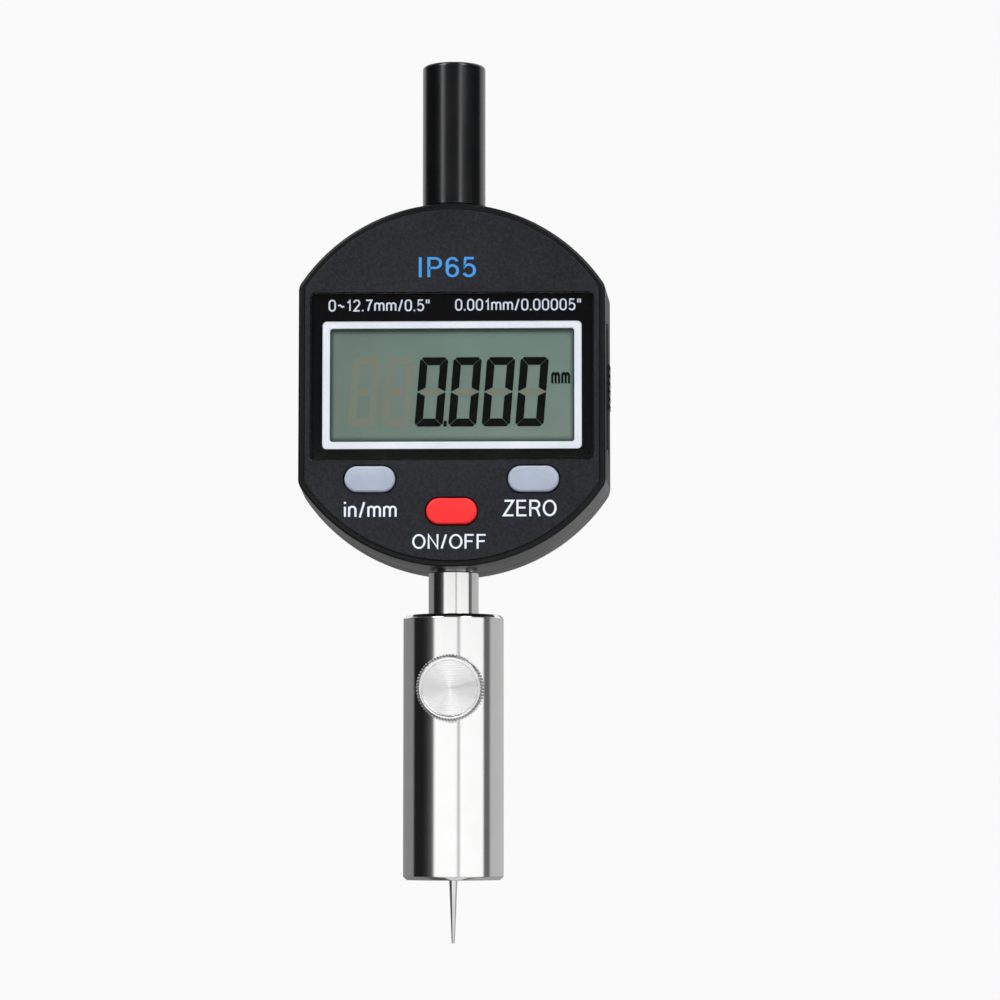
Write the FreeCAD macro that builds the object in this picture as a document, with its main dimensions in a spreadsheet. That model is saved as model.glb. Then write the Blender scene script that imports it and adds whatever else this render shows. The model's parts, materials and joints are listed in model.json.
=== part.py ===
import FreeCAD, Part
import math
import os
import Sketcher

# Digital indicator with a round case cut by two flats, an 8 mm stem and a foot barrel clamped on it.
# Origin: centre of the foot's flat face. +Z runs up the spindle, the display looks towards -Y.
# Case pieces are drawn about the case centre on the spindle axis and raised to it by CASE.

doc = FreeCAD.newDocument("indicator")
V = FreeCAD.Vector

SIZES = {
    # foot barrel and its clamp
    "foot_dia": 16.0, "foot_length": 42.0, "foot_chamfer": 0.7, "stem_room": 9.0, "foot_well_dia": 6.4,
    "foot_floor": 5.0, "foot_hole_dia": 4.8, "clamp_drop": 12.0, "clamp_shank_dia": 4.0,
    "clamp_head_dia": 10.6, "clamp_head_length": 5.0, "clamp_collar_dia": 6.2, "clamp_collar_length": 1.3,
    "clamp_collar_gap": 0.3, "clamp_face_recess": 0.35, "clamp_rim": 0.95, "clamp_bevel": 0.45,
    "pad_length": 1.6, "knurl_count": 64, "knurl_depth": 0.16,
    # stem and spindle
    "stem_dia": 8.0, "stem_engaged": 18.0, "stem_exposed": 7.3, "stem_chamfer": 0.4, "spindle_dia": 4.0,
    "spindle_bare": 10.0, "spindle_top_gap": 1.0, "spindle_chamfer": 0.3, "travel": 12.7, "needle_out": 10.0,
    "needle_root": 1.35, "needle_tip": 0.5, "needle_shank": 2.4, "needle_thread": 4.5, "needle_tap": 5.0,
    "needle_collar_dia": 3.6, "needle_collar": 3.0, "bushing_flange_dia": 10.0, "bushing_flange": 1.0,
    "wiper_depth": 2.0, "wiper_section": 0.8,
    # case shell
    "case_radius": 29.0, "case_half_width": 24.35, "case_corner": 2.2, "case_draft": 0.75,
    "axis_depth": 8.0, "front_depth": 12.8, "cover_depth": 6.7, "shell_wall": 2.0, "rim_width": 0.95,
    "rim_recess": 0.5, "plate_thickness": 0.6, "edge_chamfer": 0.35, "boss_half": 7.5, "boss_height": 5.4,
    "boss_inset": 0.5, "gasket_size": 0.6, "gasket_inset": 0.6, "gasket_width": 0.8, "cover_inset": 1.2,
    # window and display
    "lens_width": 45.0, "lens_height": 26.8, "lens_lift": 1.3, "lens_thickness": 0.8, "lens_setback": 0.1,
    "lens_corner": 0.8, "mask_thickness": 0.1, "mask_inset": 0.5, "frame_inset_x": 1.9, "frame_inset_z": 3.2,
    "frame_lip": 0.6, "frame_depth": 1.4, "frame_flange": 0.8, "frame_bar_x": 1.2, "frame_bar_z": 1.35,
    "frame_corner": 0.9, "glass_thickness": 0.75, "glass_inset_x": 0.3, "glass_inset_z": 0.2,
    "glass_ledge": 1.9, "zebra_width": 1.4,
    # board
    "board_thickness": 0.8, "board_face": 4.4, "board_margin": 1.0, "board_side_margin": 0.75,
    "notch_margin": 0.7, "stator_width": 12.0, "stator_height": 28.0, "stator_bars": 8, "stator_foil": 0.1,
    "stator_lift": 2.0, "stator_fill": 0.7, "scale_gap": 0.2, "scale_thickness": 0.6, "scale_width": 11.0,
    "scale_height": 22.0, "chip_left": 3.0, "chip_low": 14.6, "chip_width": 7.0, "chip_height": 6.0,
    "chip_thickness": 1.0, "chip_chamfer": 0.2, "crystal_dia": 1.3, "crystal_length": 5.5,
    "crystal_left": 6.5, "crystal_z": 17.5, "capacitor_left": 13.0, "capacitor_low": 14.4,
    "capacitor_width": 1.0, "capacitor_height": 1.5, "capacitor_thickness": 0.6, "capacitor_pitch": 1.9,
    "board_screw_top": 20.5, "board_screw_x": 7.0, "board_screw_drop": 15.0, "board_screw_dia": 1.4,
    "board_screw_head": 2.3, "board_screw_head_height": 0.6, "pillar_dia": 2.6,
    # carriage, guide and spring
    "carriage_width": 10.0, "carriage_height": 8.0, "carriage_back": 3.2, "carriage_drop": 5.0,
    "arm_end": 1.5, "arm_height": 2.2, "arm_front": 1.0, "arm_back": 1.2, "hook_dia": 1.0, "hook_depth": 5.0,
    "guide_offset": 9.5, "guide_dia": 2.0, "holder_half": 1.6, "holder_height": 2.2, "holder_room": 0.6,
    "spring_offset": 14.0, "spring_dia": 3.2, "spring_wire": 0.4, "spring_length": 12.0, "spring_turns": 13,
    "carriage_screw_dia": 1.6, "carriage_screw_head": 2.8, "carriage_screw_height": 0.9,
    # buttons
    "button_length": 8.05, "button_width": 4.1, "button_proud": 0.6, "button_gap": 0.22, "button_edge": 0.3,
    "button_flange": 0.5, "flange_depth": 0.4, "flange_gap": 0.05, "side_button_offset": 12.95,
    "side_button_drop": 15.1, "power_button_drop": 20.2, "press": 0.3, "plunger_dia": 1.8,
    "plunger_entry": 0.2, "switch_size": 3.6, "switch_height": 0.8, "switch_floor": 0.35,
    # battery drawer
    "cell_dia": 11.6, "cell_thickness": 5.4, "cell_step": 1.1, "cell_can_share": 0.85, "cell_room": 0.4,
    "drawer_cover": 20.4, "drawer_depth": 7.4, "drawer_plate": 1.2, "drawer_wall": 1.3, "drawer_length": 15.6,
    "drawer_passage": 2.2, "ridge_height": 7.5, "ridge_proud": 0.45, "ridge_inset": 0.6,
    "ridge_chamfer": 0.25, "seal_back": 1.1, "seal_width": 0.7, "seal_depth": 0.35, "seal_proud": 0.08,
    "contact_half": 1.5, "contact_foot": 2.0, "contact_reach": 3.0, "minus_leaf": 0.2, "plus_leaf": 0.3,
    "contact_gap": 0.1, "plus_clearance": 0.6, "arm_setback": 1.0,
    # cap, lug, screws
    "cap_dia": 10.12, "cap_length": 23.0, "cap_wall": 1.6, "cap_edge": 0.45, "cap_thread_dia": 7.6,
    "cap_thread_length": 6.0, "seal_inset": 0.3, "lug_width": 5.0, "lug_hole_dia": 6.5, "lug_reach": 6.2,
    "lug_radius": 6.0, "cover_screw_x": 14.0, "cover_screw_z": 20.3, "screw_dia": 2.0, "screw_head_dia": 3.8,
    "screw_head_height": 1.3, "screw_length": 8.0, "screw_entry": 5.0, "screw_post_dia": 4.6,
    "slot_half": 0.22, "slot_share": 0.3, "slot_floor_share": 0.45,
    # clearances, and how far a cutting tool runs past a face or a post roots into its wall
    "run_gap": 0.03, "slide_gap": 0.15, "seat_gap": 0.1, "touch_gap": 0.02, "past": 1.0, "root": 0.5,
}

sheet = doc.addObject("Spreadsheet::Sheet", "Sizes")
for row, (alias, value) in enumerate(SIZES.items(), start=1):
    sheet.set(f"A{row}", alias)
    sheet.set(f"B{row}", str(value))
    sheet.setAlias(f"B{row}", alias)
doc.recompute()


def size(alias):
    """A driving size as the sheet holds it."""
    return float(getattr(sheet, alias))


def cells(expression):
    """An expression in aliases, rewritten with the sheet's name in front of each alias."""
    words, word = [], ""
    for letter in expression + " ":
        if letter.isalnum() or letter == "_":
            word += letter
            continue
        words.append(f"Sizes.{word}" if word in SIZES else word)
        words.append(letter)
        word = ""
    return "".join(words).strip()


def value(expression):
    """The present value of an expression in aliases, worked out by the document itself."""
    return float(sheet.evalExpression(cells(expression)))


def bind(thing, prop, expression):
    thing.setExpression(prop, cells(expression))


CASE = "(foot_length + stem_exposed + case_radius)"
made = {}


def keep(thing, label, lift="0"):
    """Register a sub-part under its node name and raise it to where its own frame belongs."""
    thing.Label = label
    own_height = dict(thing.ExpressionEngine).get(".Placement.Base.z", "0")
    thing.setExpression(".Placement.Base.z", f"({own_height}) + {cells(lift)}")
    made[label] = thing
    return thing


# ---------------------------------------------------------------- primitives bound to the sheet

def box(x0, x1, y0, y1, z0, z1, name="Box"):
    """A box between two corners, each side an expression."""
    solid = doc.addObject("Part::Box", name)
    bind(solid, "Length", f"({x1}) - ({x0})")
    bind(solid, "Width", f"({y1}) - ({y0})")
    bind(solid, "Height", f"({z1}) - ({z0})")
    for side, start in zip("xyz", (x0, y0, z0)):
        bind(solid, f".Placement.Base.{side}", start)
    return solid


TURNS = {
    "z": FreeCAD.Rotation(),
    "y": FreeCAD.Rotation(V(1, 0, 0), -90),
    "x": FreeCAD.Rotation(V(0, 1, 0), 90),
}


def place(solid, axis, x, y, z):
    """Turn a round primitive's axis from Z to the named axis and put its start at a point."""
    solid.Placement = FreeCAD.Placement(V(), TURNS[axis])
    for side, start in zip("xyz", (x, y, z)):
        bind(solid, f".Placement.Base.{side}", start)
    return solid


def rod(axis, radius, length, x="0", y="0", z="0"):
    """A cylinder that runs from a point in the direction of an axis."""
    solid = doc.addObject("Part::Cylinder", "Rod")
    bind(solid, "Radius", radius)
    bind(solid, "Height", length)
    return place(solid, axis, x, y, z)


def taper(axis, radius_start, radius_end, length, x="0", y="0", z="0"):
    solid = doc.addObject("Part::Cone", "Taper")
    bind(solid, "Radius1", radius_start)
    bind(solid, "Radius2", radius_end)
    bind(solid, "Height", length)
    return place(solid, axis, x, y, z)


def join(*solids):
    fused = doc.addObject("Part::MultiFuse", "Join")
    fused.Shapes = list(solids)
    fused.Refine = True
    return fused


def less(base, *tools):
    """Take each tool away from the base in turn."""
    for tool in tools:
        cut = doc.addObject("Part::Cut", "Less")
        cut.Base = base
        cut.Tool = tool
        base = cut
    return base


def both(one, other):
    common = doc.addObject("Part::MultiCommon", "Both")
    common.Shapes = [one, other]
    return common


def group(*solids):
    """Separate solids of one node, such as a set of screws."""
    compound = doc.addObject("Part::Compound", "Group")
    compound.Links = list(solids)
    return compound


def trim_edges(base, kind, radius, wanted):
    """Fillet or chamfer the edges that a test picks, by the middle of each edge."""
    doc.recompute()
    feature = doc.addObject(f"Part::{kind}", kind)
    feature.Base = base
    picked = [n for n, edge in enumerate(base.Shape.Edges, start=1) if wanted(edge)]
    feature.Edges = [(n, value(radius), value(radius)) for n in picked]
    return feature


def middle(edge):
    return edge.valueAt((edge.FirstParameter + edge.LastParameter) / 2)


# ---------------------------------------------------------------- sketched outlines

def new_body(name):
    return doc.addObject("PartDesign::Body", name)


def plane_sketch(body, role, offset, name):
    """A sketch on one of the body's origin planes, moved along its normal by an expression."""
    sketch = body.newObject("Sketcher::SketchObject", name)
    plane = [f for f in body.Origin.OriginFeatures if f.Role == role][0]
    sketch.AttachmentSupport = [(plane, "")]
    sketch.MapMode = "FlatFace"
    bind(sketch, ".AttachmentOffset.Base.z", offset)
    return sketch


def named(sketch, constraint, name, expression):
    """Add a driving dimension and bind it to the sheet."""
    index = sketch.addConstraint(constraint)
    sketch.renameConstraint(index, name)
    bind(sketch, f"Constraints.{name}", expression)


def flats_outline(sketch, radius, half_width, corner):
    """A circle about the origin cut by two upright flats, its four corners rounded."""
    big, half, small = value(radius), value(half_width), value(corner)
    inner = math.sqrt((big - small) ** 2 - (half - small) ** 2)
    lean = math.atan2(inner, half - small)
    arcs = []
    for n in range(2):
        start = lean + n * math.pi
        circle = Part.Circle(V(0, 0, 0), V(0, 0, 1), big)
        arcs.append(sketch.addGeometry(Part.ArcOfCircle(circle, start, start + math.pi - 2 * lean)))
    corners = []
    for side, up, first in ((1, 1, 0), (-1, 1, math.pi - lean), (-1, -1, math.pi), (1, -1, -lean)):
        circle = Part.Circle(V(side * (half - small), up * inner, 0), V(0, 0, 1), small)
        corners.append(sketch.addGeometry(Part.ArcOfCircle(circle, first, first + lean)))
    right = sketch.addGeometry(Part.LineSegment(V(half, -inner, 0), V(half, inner, 0)))
    left = sketch.addGeometry(Part.LineSegment(V(-half, inner, 0), V(-half, -inner, 0)))
    loop = (right, corners[0], arcs[0], corners[1], left, corners[2], arcs[1], corners[3])
    for n, edge in enumerate(loop):
        sketch.addConstraint(Sketcher.Constraint("Tangent", edge, 2, loop[(n + 1) % len(loop)], 1))
    for arc in arcs:
        sketch.addConstraint(Sketcher.Constraint("Coincident", arc, 3, -1, 1))
    sketch.addConstraint(Sketcher.Constraint("Vertical", right))
    sketch.addConstraint(Sketcher.Constraint("Vertical", left))
    named(sketch, Sketcher.Constraint("Radius", arcs[0], big), "radius", radius)
    sketch.addConstraint(Sketcher.Constraint("Equal", arcs[0], arcs[1]))
    named(sketch, Sketcher.Constraint("Radius", corners[0], small), "corner", corner)
    for other in corners[1:]:
        sketch.addConstraint(Sketcher.Constraint("Equal", corners[0], other))
    named(sketch, Sketcher.Constraint("DistanceX", -1, 1, right, 1, half), "rightHalf", half_width)
    named(sketch, Sketcher.Constraint("DistanceX", left, 1, -1, 1, half), "leftHalf", half_width)
    return sketch


def pad(body, sketch, length, name, reverse=False):
    feature = body.newObject("PartDesign::Pad", name)
    feature.Profile = sketch
    bind(feature, "Length", length)
    feature.Reversed = reverse
    doc.recompute()
    return feature


def flats_prism(name, y_start, length, radius, half_width, corner="case_corner"):
    """A prism of the case outline from y_start towards +Y."""
    body = new_body(name)
    sketch = plane_sketch(body, "XZ_Plane", f"-({y_start})", f"{name}Outline")
    flats_outline(sketch, radius, half_width, corner)
    pad(body, sketch, length, f"{name}Pad", reverse=True)
    return body


def drafted_prism(y_start, length, grow_start, grow_end):
    """The case outline from y_start towards +Y, growing as moulded walls do: a cone between two flats."""
    round_part = taper("y", f"case_radius + {grow_start}", f"case_radius + {grow_end}", length, y=y_start)
    flats = doc.addObject("Part::Wedge", "Flats")
    for low, high, half in (("Xmin", "Xmax", f"case_half_width + {grow_start}"),
                            ("X2min", "X2max", f"case_half_width + {grow_end}"),
                            ("Zmin", "Zmax", "2 * case_radius"), ("Z2min", "Z2max", "2 * case_radius")):
        bind(flats, low, f"0 - ({half})")
        bind(flats, high, half)
    bind(flats, "Ymin", y_start)
    bind(flats, "Ymax", f"({y_start}) + ({length})")
    limit = value("case_half_width") - 0.1
    return trim_edges(both(round_part, flats), "Fillet", "case_corner",
                      lambda e: abs(middle(e).x) > limit and abs(e.tangentAt(e.FirstParameter).y) > 0.9)


def rounded_slab(width, height, corner, y_start, thickness, x="0", z="0"):
    """An upright plate with rounded corners, facing -Y, centred on a point."""
    slab = box(f"({x}) - ({width}) / 2", f"({x}) + ({width}) / 2", y_start, f"({y_start}) + ({thickness})",
               f"({z}) - ({height}) / 2", f"({z}) + ({height}) / 2")
    return trim_edges(slab, "Fillet", corner, lambda e: abs(e.tangentAt(e.FirstParameter).y) > 0.99)


def obround(length, width, y_start, thickness, x, z):
    """A bar with round ends, lying along X and facing -Y."""
    reach = f"(({length}) - ({width})) / 2"
    bar = box(f"({x}) - {reach}", f"({x}) + {reach}", y_start, f"({y_start}) + ({thickness})",
              f"({z}) - ({width}) / 2", f"({z}) + ({width}) / 2")
    ends = [rod("y", f"({width}) / 2", thickness, f"({x}) {sign} {reach}", y_start, z) for sign in "-+"]
    return join(bar, *ends)


# ---------------------------------------------------------------- places that several pieces share

FRONT = "(0 - axis_depth)"
PARTING = "(front_depth - axis_depth)"
BACK = "(front_depth + cover_depth - axis_depth)"
PARTING_GROW = "(case_draft * front_depth / (front_depth + cover_depth))"
WALL_INSIDE = f"({FRONT} + shell_wall)"
PLATE_SEAT = f"({FRONT} + rim_recess)"
PLATE_FACE = f"({PLATE_SEAT} - plate_thickness)"
LENS_FACE = f"({PLATE_FACE} + lens_setback)"
LENS_BACK = f"({LENS_FACE} + lens_thickness)"
MASK_BACK = f"({LENS_BACK} + mask_thickness)"
FRAME_WIDTH = "(lens_width - 2 * frame_inset_x)"
FRAME_HEIGHT = "(lens_height - 2 * frame_inset_z)"
FLANGE_WIDTH = f"({FRAME_WIDTH} + 2 * frame_flange)"
FLANGE_HEIGHT = f"({FRAME_HEIGHT} + 2 * frame_flange)"
VIEW_WIDTH = f"({FRAME_WIDTH} - 2 * frame_bar_x)"
VIEW_HEIGHT = f"({FRAME_HEIGHT} - 2 * frame_bar_z)"
GLASS_WIDTH = f"({FRAME_WIDTH} - 2 * glass_inset_x)"
GLASS_HEIGHT = f"({FRAME_HEIGHT} - 2 * glass_inset_z)"
GLASS_FACE = f"({MASK_BACK} + frame_lip)"
GLASS_MIDDLE = f"({GLASS_FACE} + glass_thickness)"
GLASS_BACK = f"({GLASS_MIDDLE} + glass_thickness)"
BOARD_FACE = "(0 - board_face)"
BOARD_BACK = f"({BOARD_FACE} + board_thickness)"
INNER_RADIUS = "(case_radius - shell_wall)"
INNER_HALF = "(case_half_width - shell_wall)"
BOSS_REACH = "(case_radius - boss_height)"
FLANGE_REACH = f"({BOSS_REACH} - bushing_flange)"
BORE = "(spindle_dia / 2 + run_gap)"
THROUGH = "(2 * case_radius)"
BUTTONS = {
    "units": ("(0 - side_button_offset)", "(0 - side_button_drop)"),
    "zero": ("side_button_offset", "(0 - side_button_drop)"),
    "power": ("0", "(0 - power_button_drop)"),
}
SCREW_PLACES = [(f"({sx} * cover_screw_x)", f"({sz} * cover_screw_z)") for sx in (-1, 1) for sz in (-1, 1)]
BOARD_SCREW_PLACES = [("0", "board_screw_top"), ("(0 - board_screw_x)", "(0 - board_screw_drop)"),
                      ("board_screw_x", "(0 - board_screw_drop)")]
DRAWER_HEIGHT = "(cell_dia + 2 * drawer_wall)"
TRAY_HALF = "(cell_thickness / 2 + cell_room)"
DRAWER_FLAT = "(case_half_width + case_draft / 2)"
DRAWER_IN = f"({DRAWER_FLAT} - drawer_length)"
CELL_X = f"({DRAWER_IN} + drawer_wall + cell_dia / 2)"
CAP_FOOT = "(case_radius + case_draft * (axis_depth + cap_dia / 2) / (front_depth + cover_depth) + touch_gap)"
CAP_TOP = f"({CAP_FOOT} + cap_length)"


# ---------------------------------------------------------------- case shell

def window_hole(y_start, thickness):
    """The opening that the lens seats in."""
    return rounded_slab("lens_width + 2 * seat_gap", "lens_height + 2 * seat_gap", "lens_corner", y_start,
                        thickness, z="lens_lift")


def button_shafts(thickness):
    return [obround("button_length + 2 * button_gap", "button_width + 2 * button_gap", f"{FRONT} - past",
                    thickness, x, z) for x, z in BUTTONS.values()]


def gasket_band(y_start, length):
    """The band that runs round inside the case wall at the parting face."""
    return less(flats_prism("BandOut", y_start, length, f"{INNER_RADIUS} + gasket_inset + gasket_width",
                            f"{INNER_HALF} + gasket_inset + gasket_width"),
                flats_prism("BandIn", f"{y_start} - past", f"{length} + 2 * past",
                            f"{INNER_RADIUS} + gasket_inset", f"{INNER_HALF} + gasket_inset"))


def side_slot(depth_in, half_depth, half_height):
    """A slot in from the right flat with the drawer's sliding clearance."""
    return box(f"{DRAWER_FLAT} - {depth_in}", f"{DRAWER_FLAT} + case_draft + past",
               f"0 - {half_depth} - slide_gap", f"{half_depth} + slide_gap",
               f"0 - {half_height} - slide_gap", f"{half_height} + slide_gap")


def front_housing():
    """Moulded shell: drafted outside, hollow from behind, with bosses, posts and every opening."""
    shell = drafted_prism(FRONT, "front_depth", "0", PARTING_GROW)
    outside = trim_edges(shell, "Chamfer", "edge_chamfer", lambda e: abs(middle(e).y - value(FRONT)) < 1e-4)
    hollow = flats_prism("HousingInside", WALL_INSIDE, "front_depth", INNER_RADIUS, INNER_HALF)
    seat = flats_prism("PlateSeat", f"{FRONT} - past", "past + rim_recess", "case_radius - rim_width",
                       "case_half_width - rim_width")
    lens_seat = window_hole(FRONT, f"{MASK_BACK} - {FRONT}")
    window = rounded_slab(f"{FLANGE_WIDTH} + 2 * seat_gap", f"{FLANGE_HEIGHT} + 2 * seat_gap", "frame_corner",
                          FRONT, "2 * shell_wall")
    drawer_slot = side_slot("(3 * shell_wall)", TRAY_HALF, f"({DRAWER_HEIGHT} / 2)")
    cover_seat = side_slot("drawer_plate", "(drawer_depth / 2)", "(drawer_cover / 2)")
    stem_hole = rod("z", "stem_dia / 2", "case_radius", z="0 - case_radius - case_draft")
    cap_hole = rod("z", "cap_thread_dia / 2", "case_radius", z="case_draft")
    bosses = [both(box("0 - boss_half", "boss_half", FRONT, PARTING, low, high),
                   flats_prism("BossLimit", FRONT, "front_depth", "case_radius - boss_inset",
                               "case_half_width - boss_inset"))
              for low, high in (("0 - case_radius", f"0 - {BOSS_REACH}"), (BOSS_REACH, "case_radius"))]
    posts = [rod("y", "screw_post_dia / 2", f"{PARTING} - {WALL_INSIDE} + root", x, f"{WALL_INSIDE} - root", z)
             for x, z in SCREW_PLACES]
    screw_holes = [rod("y", "screw_dia / 2", "screw_length", x, f"{PARTING} - screw_entry", z)
                   for x, z in SCREW_PLACES]
    pillars = [rod("y", "pillar_dia / 2", f"{BOARD_FACE} - {WALL_INSIDE} + root", x, f"{WALL_INSIDE} - root", z)
               for x, z in BOARD_SCREW_PLACES]
    pillar_holes = [rod("y", "board_screw_dia / 2", "shell_wall + past", x, f"{WALL_INSIDE} - root / 2", z)
                    for x, z in BOARD_SCREW_PLACES]
    groove = gasket_band(f"({PARTING} - gasket_size)", "(gasket_size + past)")
    ribbed = join(less(outside, hollow), *bosses, *posts, *pillars)
    return less(ribbed, seat, lens_seat, window, *button_shafts("shell_wall + 2 * past"), drawer_slot,
                cover_seat, stem_hole, cap_hole, *screw_holes, *pillar_holes, groove)


def back_cover():
    """Shallow tray that closes the case, with the lug that a stand's pin goes through."""
    shell = drafted_prism(PARTING, "cover_depth", PARTING_GROW, "case_draft")
    outside = trim_edges(shell, "Chamfer", "2 * edge_chamfer", lambda e: abs(middle(e).y - value(BACK)) < 1e-4)
    hollow = flats_prism("CoverInside", f"{PARTING} - past", "cover_depth + past - shell_wall",
                         f"{INNER_RADIUS} - cover_inset", f"{INNER_HALF} - cover_inset")
    posts = [rod("y", "screw_post_dia / 2", f"{BACK} - {PARTING} - root", x, PARTING, z)
             for x, z in SCREW_PLACES]
    holes = [rod("y", "screw_dia / 2 + seat_gap", "cover_depth + 2 * past", x, f"{PARTING} - past", z)
             for x, z in SCREW_PLACES]
    sinks = [rod("y", "screw_head_dia / 2 + seat_gap", "screw_head_height + past", x,
                 f"{BACK} - screw_head_height", z) for x, z in SCREW_PLACES]
    lug_bar = box("0 - lug_width / 2", "lug_width / 2", f"{BACK} - shell_wall / 2", f"{BACK} + lug_reach",
                  "0 - lug_radius", "lug_radius")
    lug_end = rod("x", "lug_radius", "lug_width", "0 - lug_width / 2", f"{BACK} + lug_reach")
    lug_hole = rod("x", "lug_hole_dia / 2", "lug_width + 2 * past", "0 - lug_width / 2 - past",
                   f"{BACK} + lug_reach")
    return less(join(less(outside, hollow), *posts, lug_bar, lug_end), *holes, *sinks, lug_hole)


def cover_gasket():
    return gasket_band(f"({PARTING} - gasket_size)", "gasket_size")


def pan_screw(x, y_head, z, length, head_dia, head_height, dia):
    """A pan-head screw that points to -Y, with a cross slot in its head."""
    shank = rod("y", f"({dia}) / 2", length, x, f"({y_head}) - ({length})", z)
    head = rod("y", f"({head_dia}) / 2", head_height, x, y_head, z)
    arm = f"({head_dia}) * slot_share"
    slots = [box(f"({x}) - {wide}", f"({x}) + {wide}", f"({y_head}) + ({head_height}) * slot_floor_share",
                 f"({y_head}) + ({head_height}) + past", f"({z}) - {tall}", f"({z}) + {tall}")
             for wide, tall in (("slot_half", arm), (arm, "slot_half"))]
    return less(join(shank, head), *slots)


def cover_screws():
    return group(*[pan_screw(x, f"{BACK} - screw_head_height", z, "screw_length", "screw_head_dia",
                             "screw_head_height", "screw_dia") for x, z in SCREW_PLACES])


def face_plate():
    """Overlay inside the case rim, open for the window and the buttons."""
    plate = flats_prism("FacePlate", PLATE_FACE, "plate_thickness", "case_radius - rim_width - touch_gap",
                        "case_half_width - rim_width - touch_gap")
    return less(plate, window_hole(f"{PLATE_FACE} - past", "plate_thickness + 2 * past"),
                *button_shafts("plate_thickness + 3 * past"))


# ---------------------------------------------------------------- window and display

def display_lens():
    return rounded_slab("lens_width", "lens_height", "lens_corner", LENS_FACE, "lens_thickness", z="lens_lift")


def lens_mask():
    """Printed film behind the lens, open where the white frame shows."""
    film = rounded_slab("lens_width - 2 * mask_inset", "lens_height - 2 * mask_inset", "lens_corner", LENS_BACK,
                        "mask_thickness", z="lens_lift")
    return less(film, rounded_slab(FRAME_WIDTH, FRAME_HEIGHT, "frame_corner", f"{LENS_BACK} - past",
                                   "mask_thickness + 2 * past"))


def display_frame():
    """White moulded frame with a lip in front and a rebate that holds the glass."""
    outer = rounded_slab(FLANGE_WIDTH, FLANGE_HEIGHT, "frame_corner", MASK_BACK, "frame_depth")
    opening = rounded_slab(VIEW_WIDTH, VIEW_HEIGHT, "frame_corner / 2", f"{MASK_BACK} - past",
                           "frame_depth + 2 * past")
    rebate = rounded_slab(f"{GLASS_WIDTH} + 2 * seat_gap", f"{GLASS_HEIGHT} + 2 * seat_gap", "frame_corner / 3",
                          GLASS_FACE, "frame_depth")
    return less(outer, opening, rebate)


def lcd_front_glass():
    return box(f"0 - {GLASS_WIDTH} / 2", f"{GLASS_WIDTH} / 2", GLASS_FACE, GLASS_MIDDLE,
               f"0 - {GLASS_HEIGHT} / 2", f"{GLASS_HEIGHT} / 2")


def lcd_rear_glass():
    half = f"({GLASS_HEIGHT} / 2 - glass_ledge)"
    return box(f"0 - {GLASS_WIDTH} / 2", f"{GLASS_WIDTH} / 2", GLASS_MIDDLE, GLASS_BACK, f"0 - {half}", half)


def zebra_strips():
    """Two rubber connectors between the front glass's ledges and the board."""
    strips = []
    for sign in (-1, 1):
        middle_z = f"({sign} * ({GLASS_HEIGHT} / 2 - glass_ledge / 2))"
        strips.append(box(f"0 - {VIEW_WIDTH} / 2", f"{VIEW_WIDTH} / 2", GLASS_MIDDLE, BOARD_FACE,
                          f"{middle_z} - zebra_width / 2", f"{middle_z} + zebra_width / 2"))
    return group(*strips)


# ---------------------------------------------------------------- board and what is on it

def main_board():
    """Board of the case's shape, notched for the two bosses and drilled for the posts."""
    plate = flats_prism("Board", BOARD_FACE, "board_thickness", f"{INNER_RADIUS} - board_margin",
                        f"{INNER_HALF} - board_side_margin")
    reach = f"({FLANGE_REACH} - 2 * seat_gap)"
    notches = [box("0 - boss_half - notch_margin", "boss_half + notch_margin", f"{BOARD_FACE} - past",
                   f"{BOARD_BACK} + past", low, high)
               for low, high in ((f"0 - {THROUGH}", f"0 - {reach}"), (reach, THROUGH))]
    drill = (f"{BOARD_FACE} - past", "board_thickness + 2 * past")
    holes = [rod("y", "screw_post_dia / 2 + seat_gap", drill[1], x, drill[0], z) for x, z in SCREW_PLACES]
    screw_holes = [rod("y", "board_screw_dia / 2", drill[1], x, drill[0], z) for x, z in BOARD_SCREW_PLACES]
    return less(plate, *notches, *holes, *screw_holes)


def board_screws():
    return group(*[pan_screw(x, BOARD_BACK, z, f"{BOARD_BACK} - {WALL_INSIDE}", "board_screw_head",
                             "board_screw_head_height", "board_screw_dia") for x, z in BOARD_SCREW_PLACES])


def controller_chip():
    face = f"({BOARD_FACE} - chip_thickness)"
    body = box("chip_left", "chip_left + chip_width", face, BOARD_FACE, "chip_low", "chip_low + chip_height")
    return trim_edges(body, "Chamfer", "chip_chamfer", lambda e: abs(middle(e).y - value(face)) < 1e-4)


def board_parts():
    """Crystal and a row of chip capacitors above the display."""
    crystal = rod("x", "crystal_dia / 2", "crystal_length", "0 - crystal_left",
                  f"{BOARD_FACE} - crystal_dia / 2", "crystal_z")
    chips = []
    for n in range(3):
        left = f"(capacitor_pitch * {n} - capacitor_left)"
        chips.append(box(left, f"{left} + capacitor_width", f"{BOARD_FACE} - capacitor_thickness", BOARD_FACE,
                         "capacitor_low", "capacitor_low + capacitor_height"))
    return group(crystal, *chips)


def tactile_switches():
    """Three low switches, each with a well that its plunger goes down."""
    switches = []
    for x, z in BUTTONS.values():
        block = box(f"{x} - switch_size / 2", f"{x} + switch_size / 2", f"{BOARD_FACE} - switch_height",
                    BOARD_FACE, f"{z} - switch_size / 2", f"{z} + switch_size / 2")
        well = rod("y", "plunger_dia / 2 + slide_gap", "press + switch_floor", x,
                   f"{BOARD_FACE} - switch_height", z)
        switches.append(less(block, well))
    return group(*switches)


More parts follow.
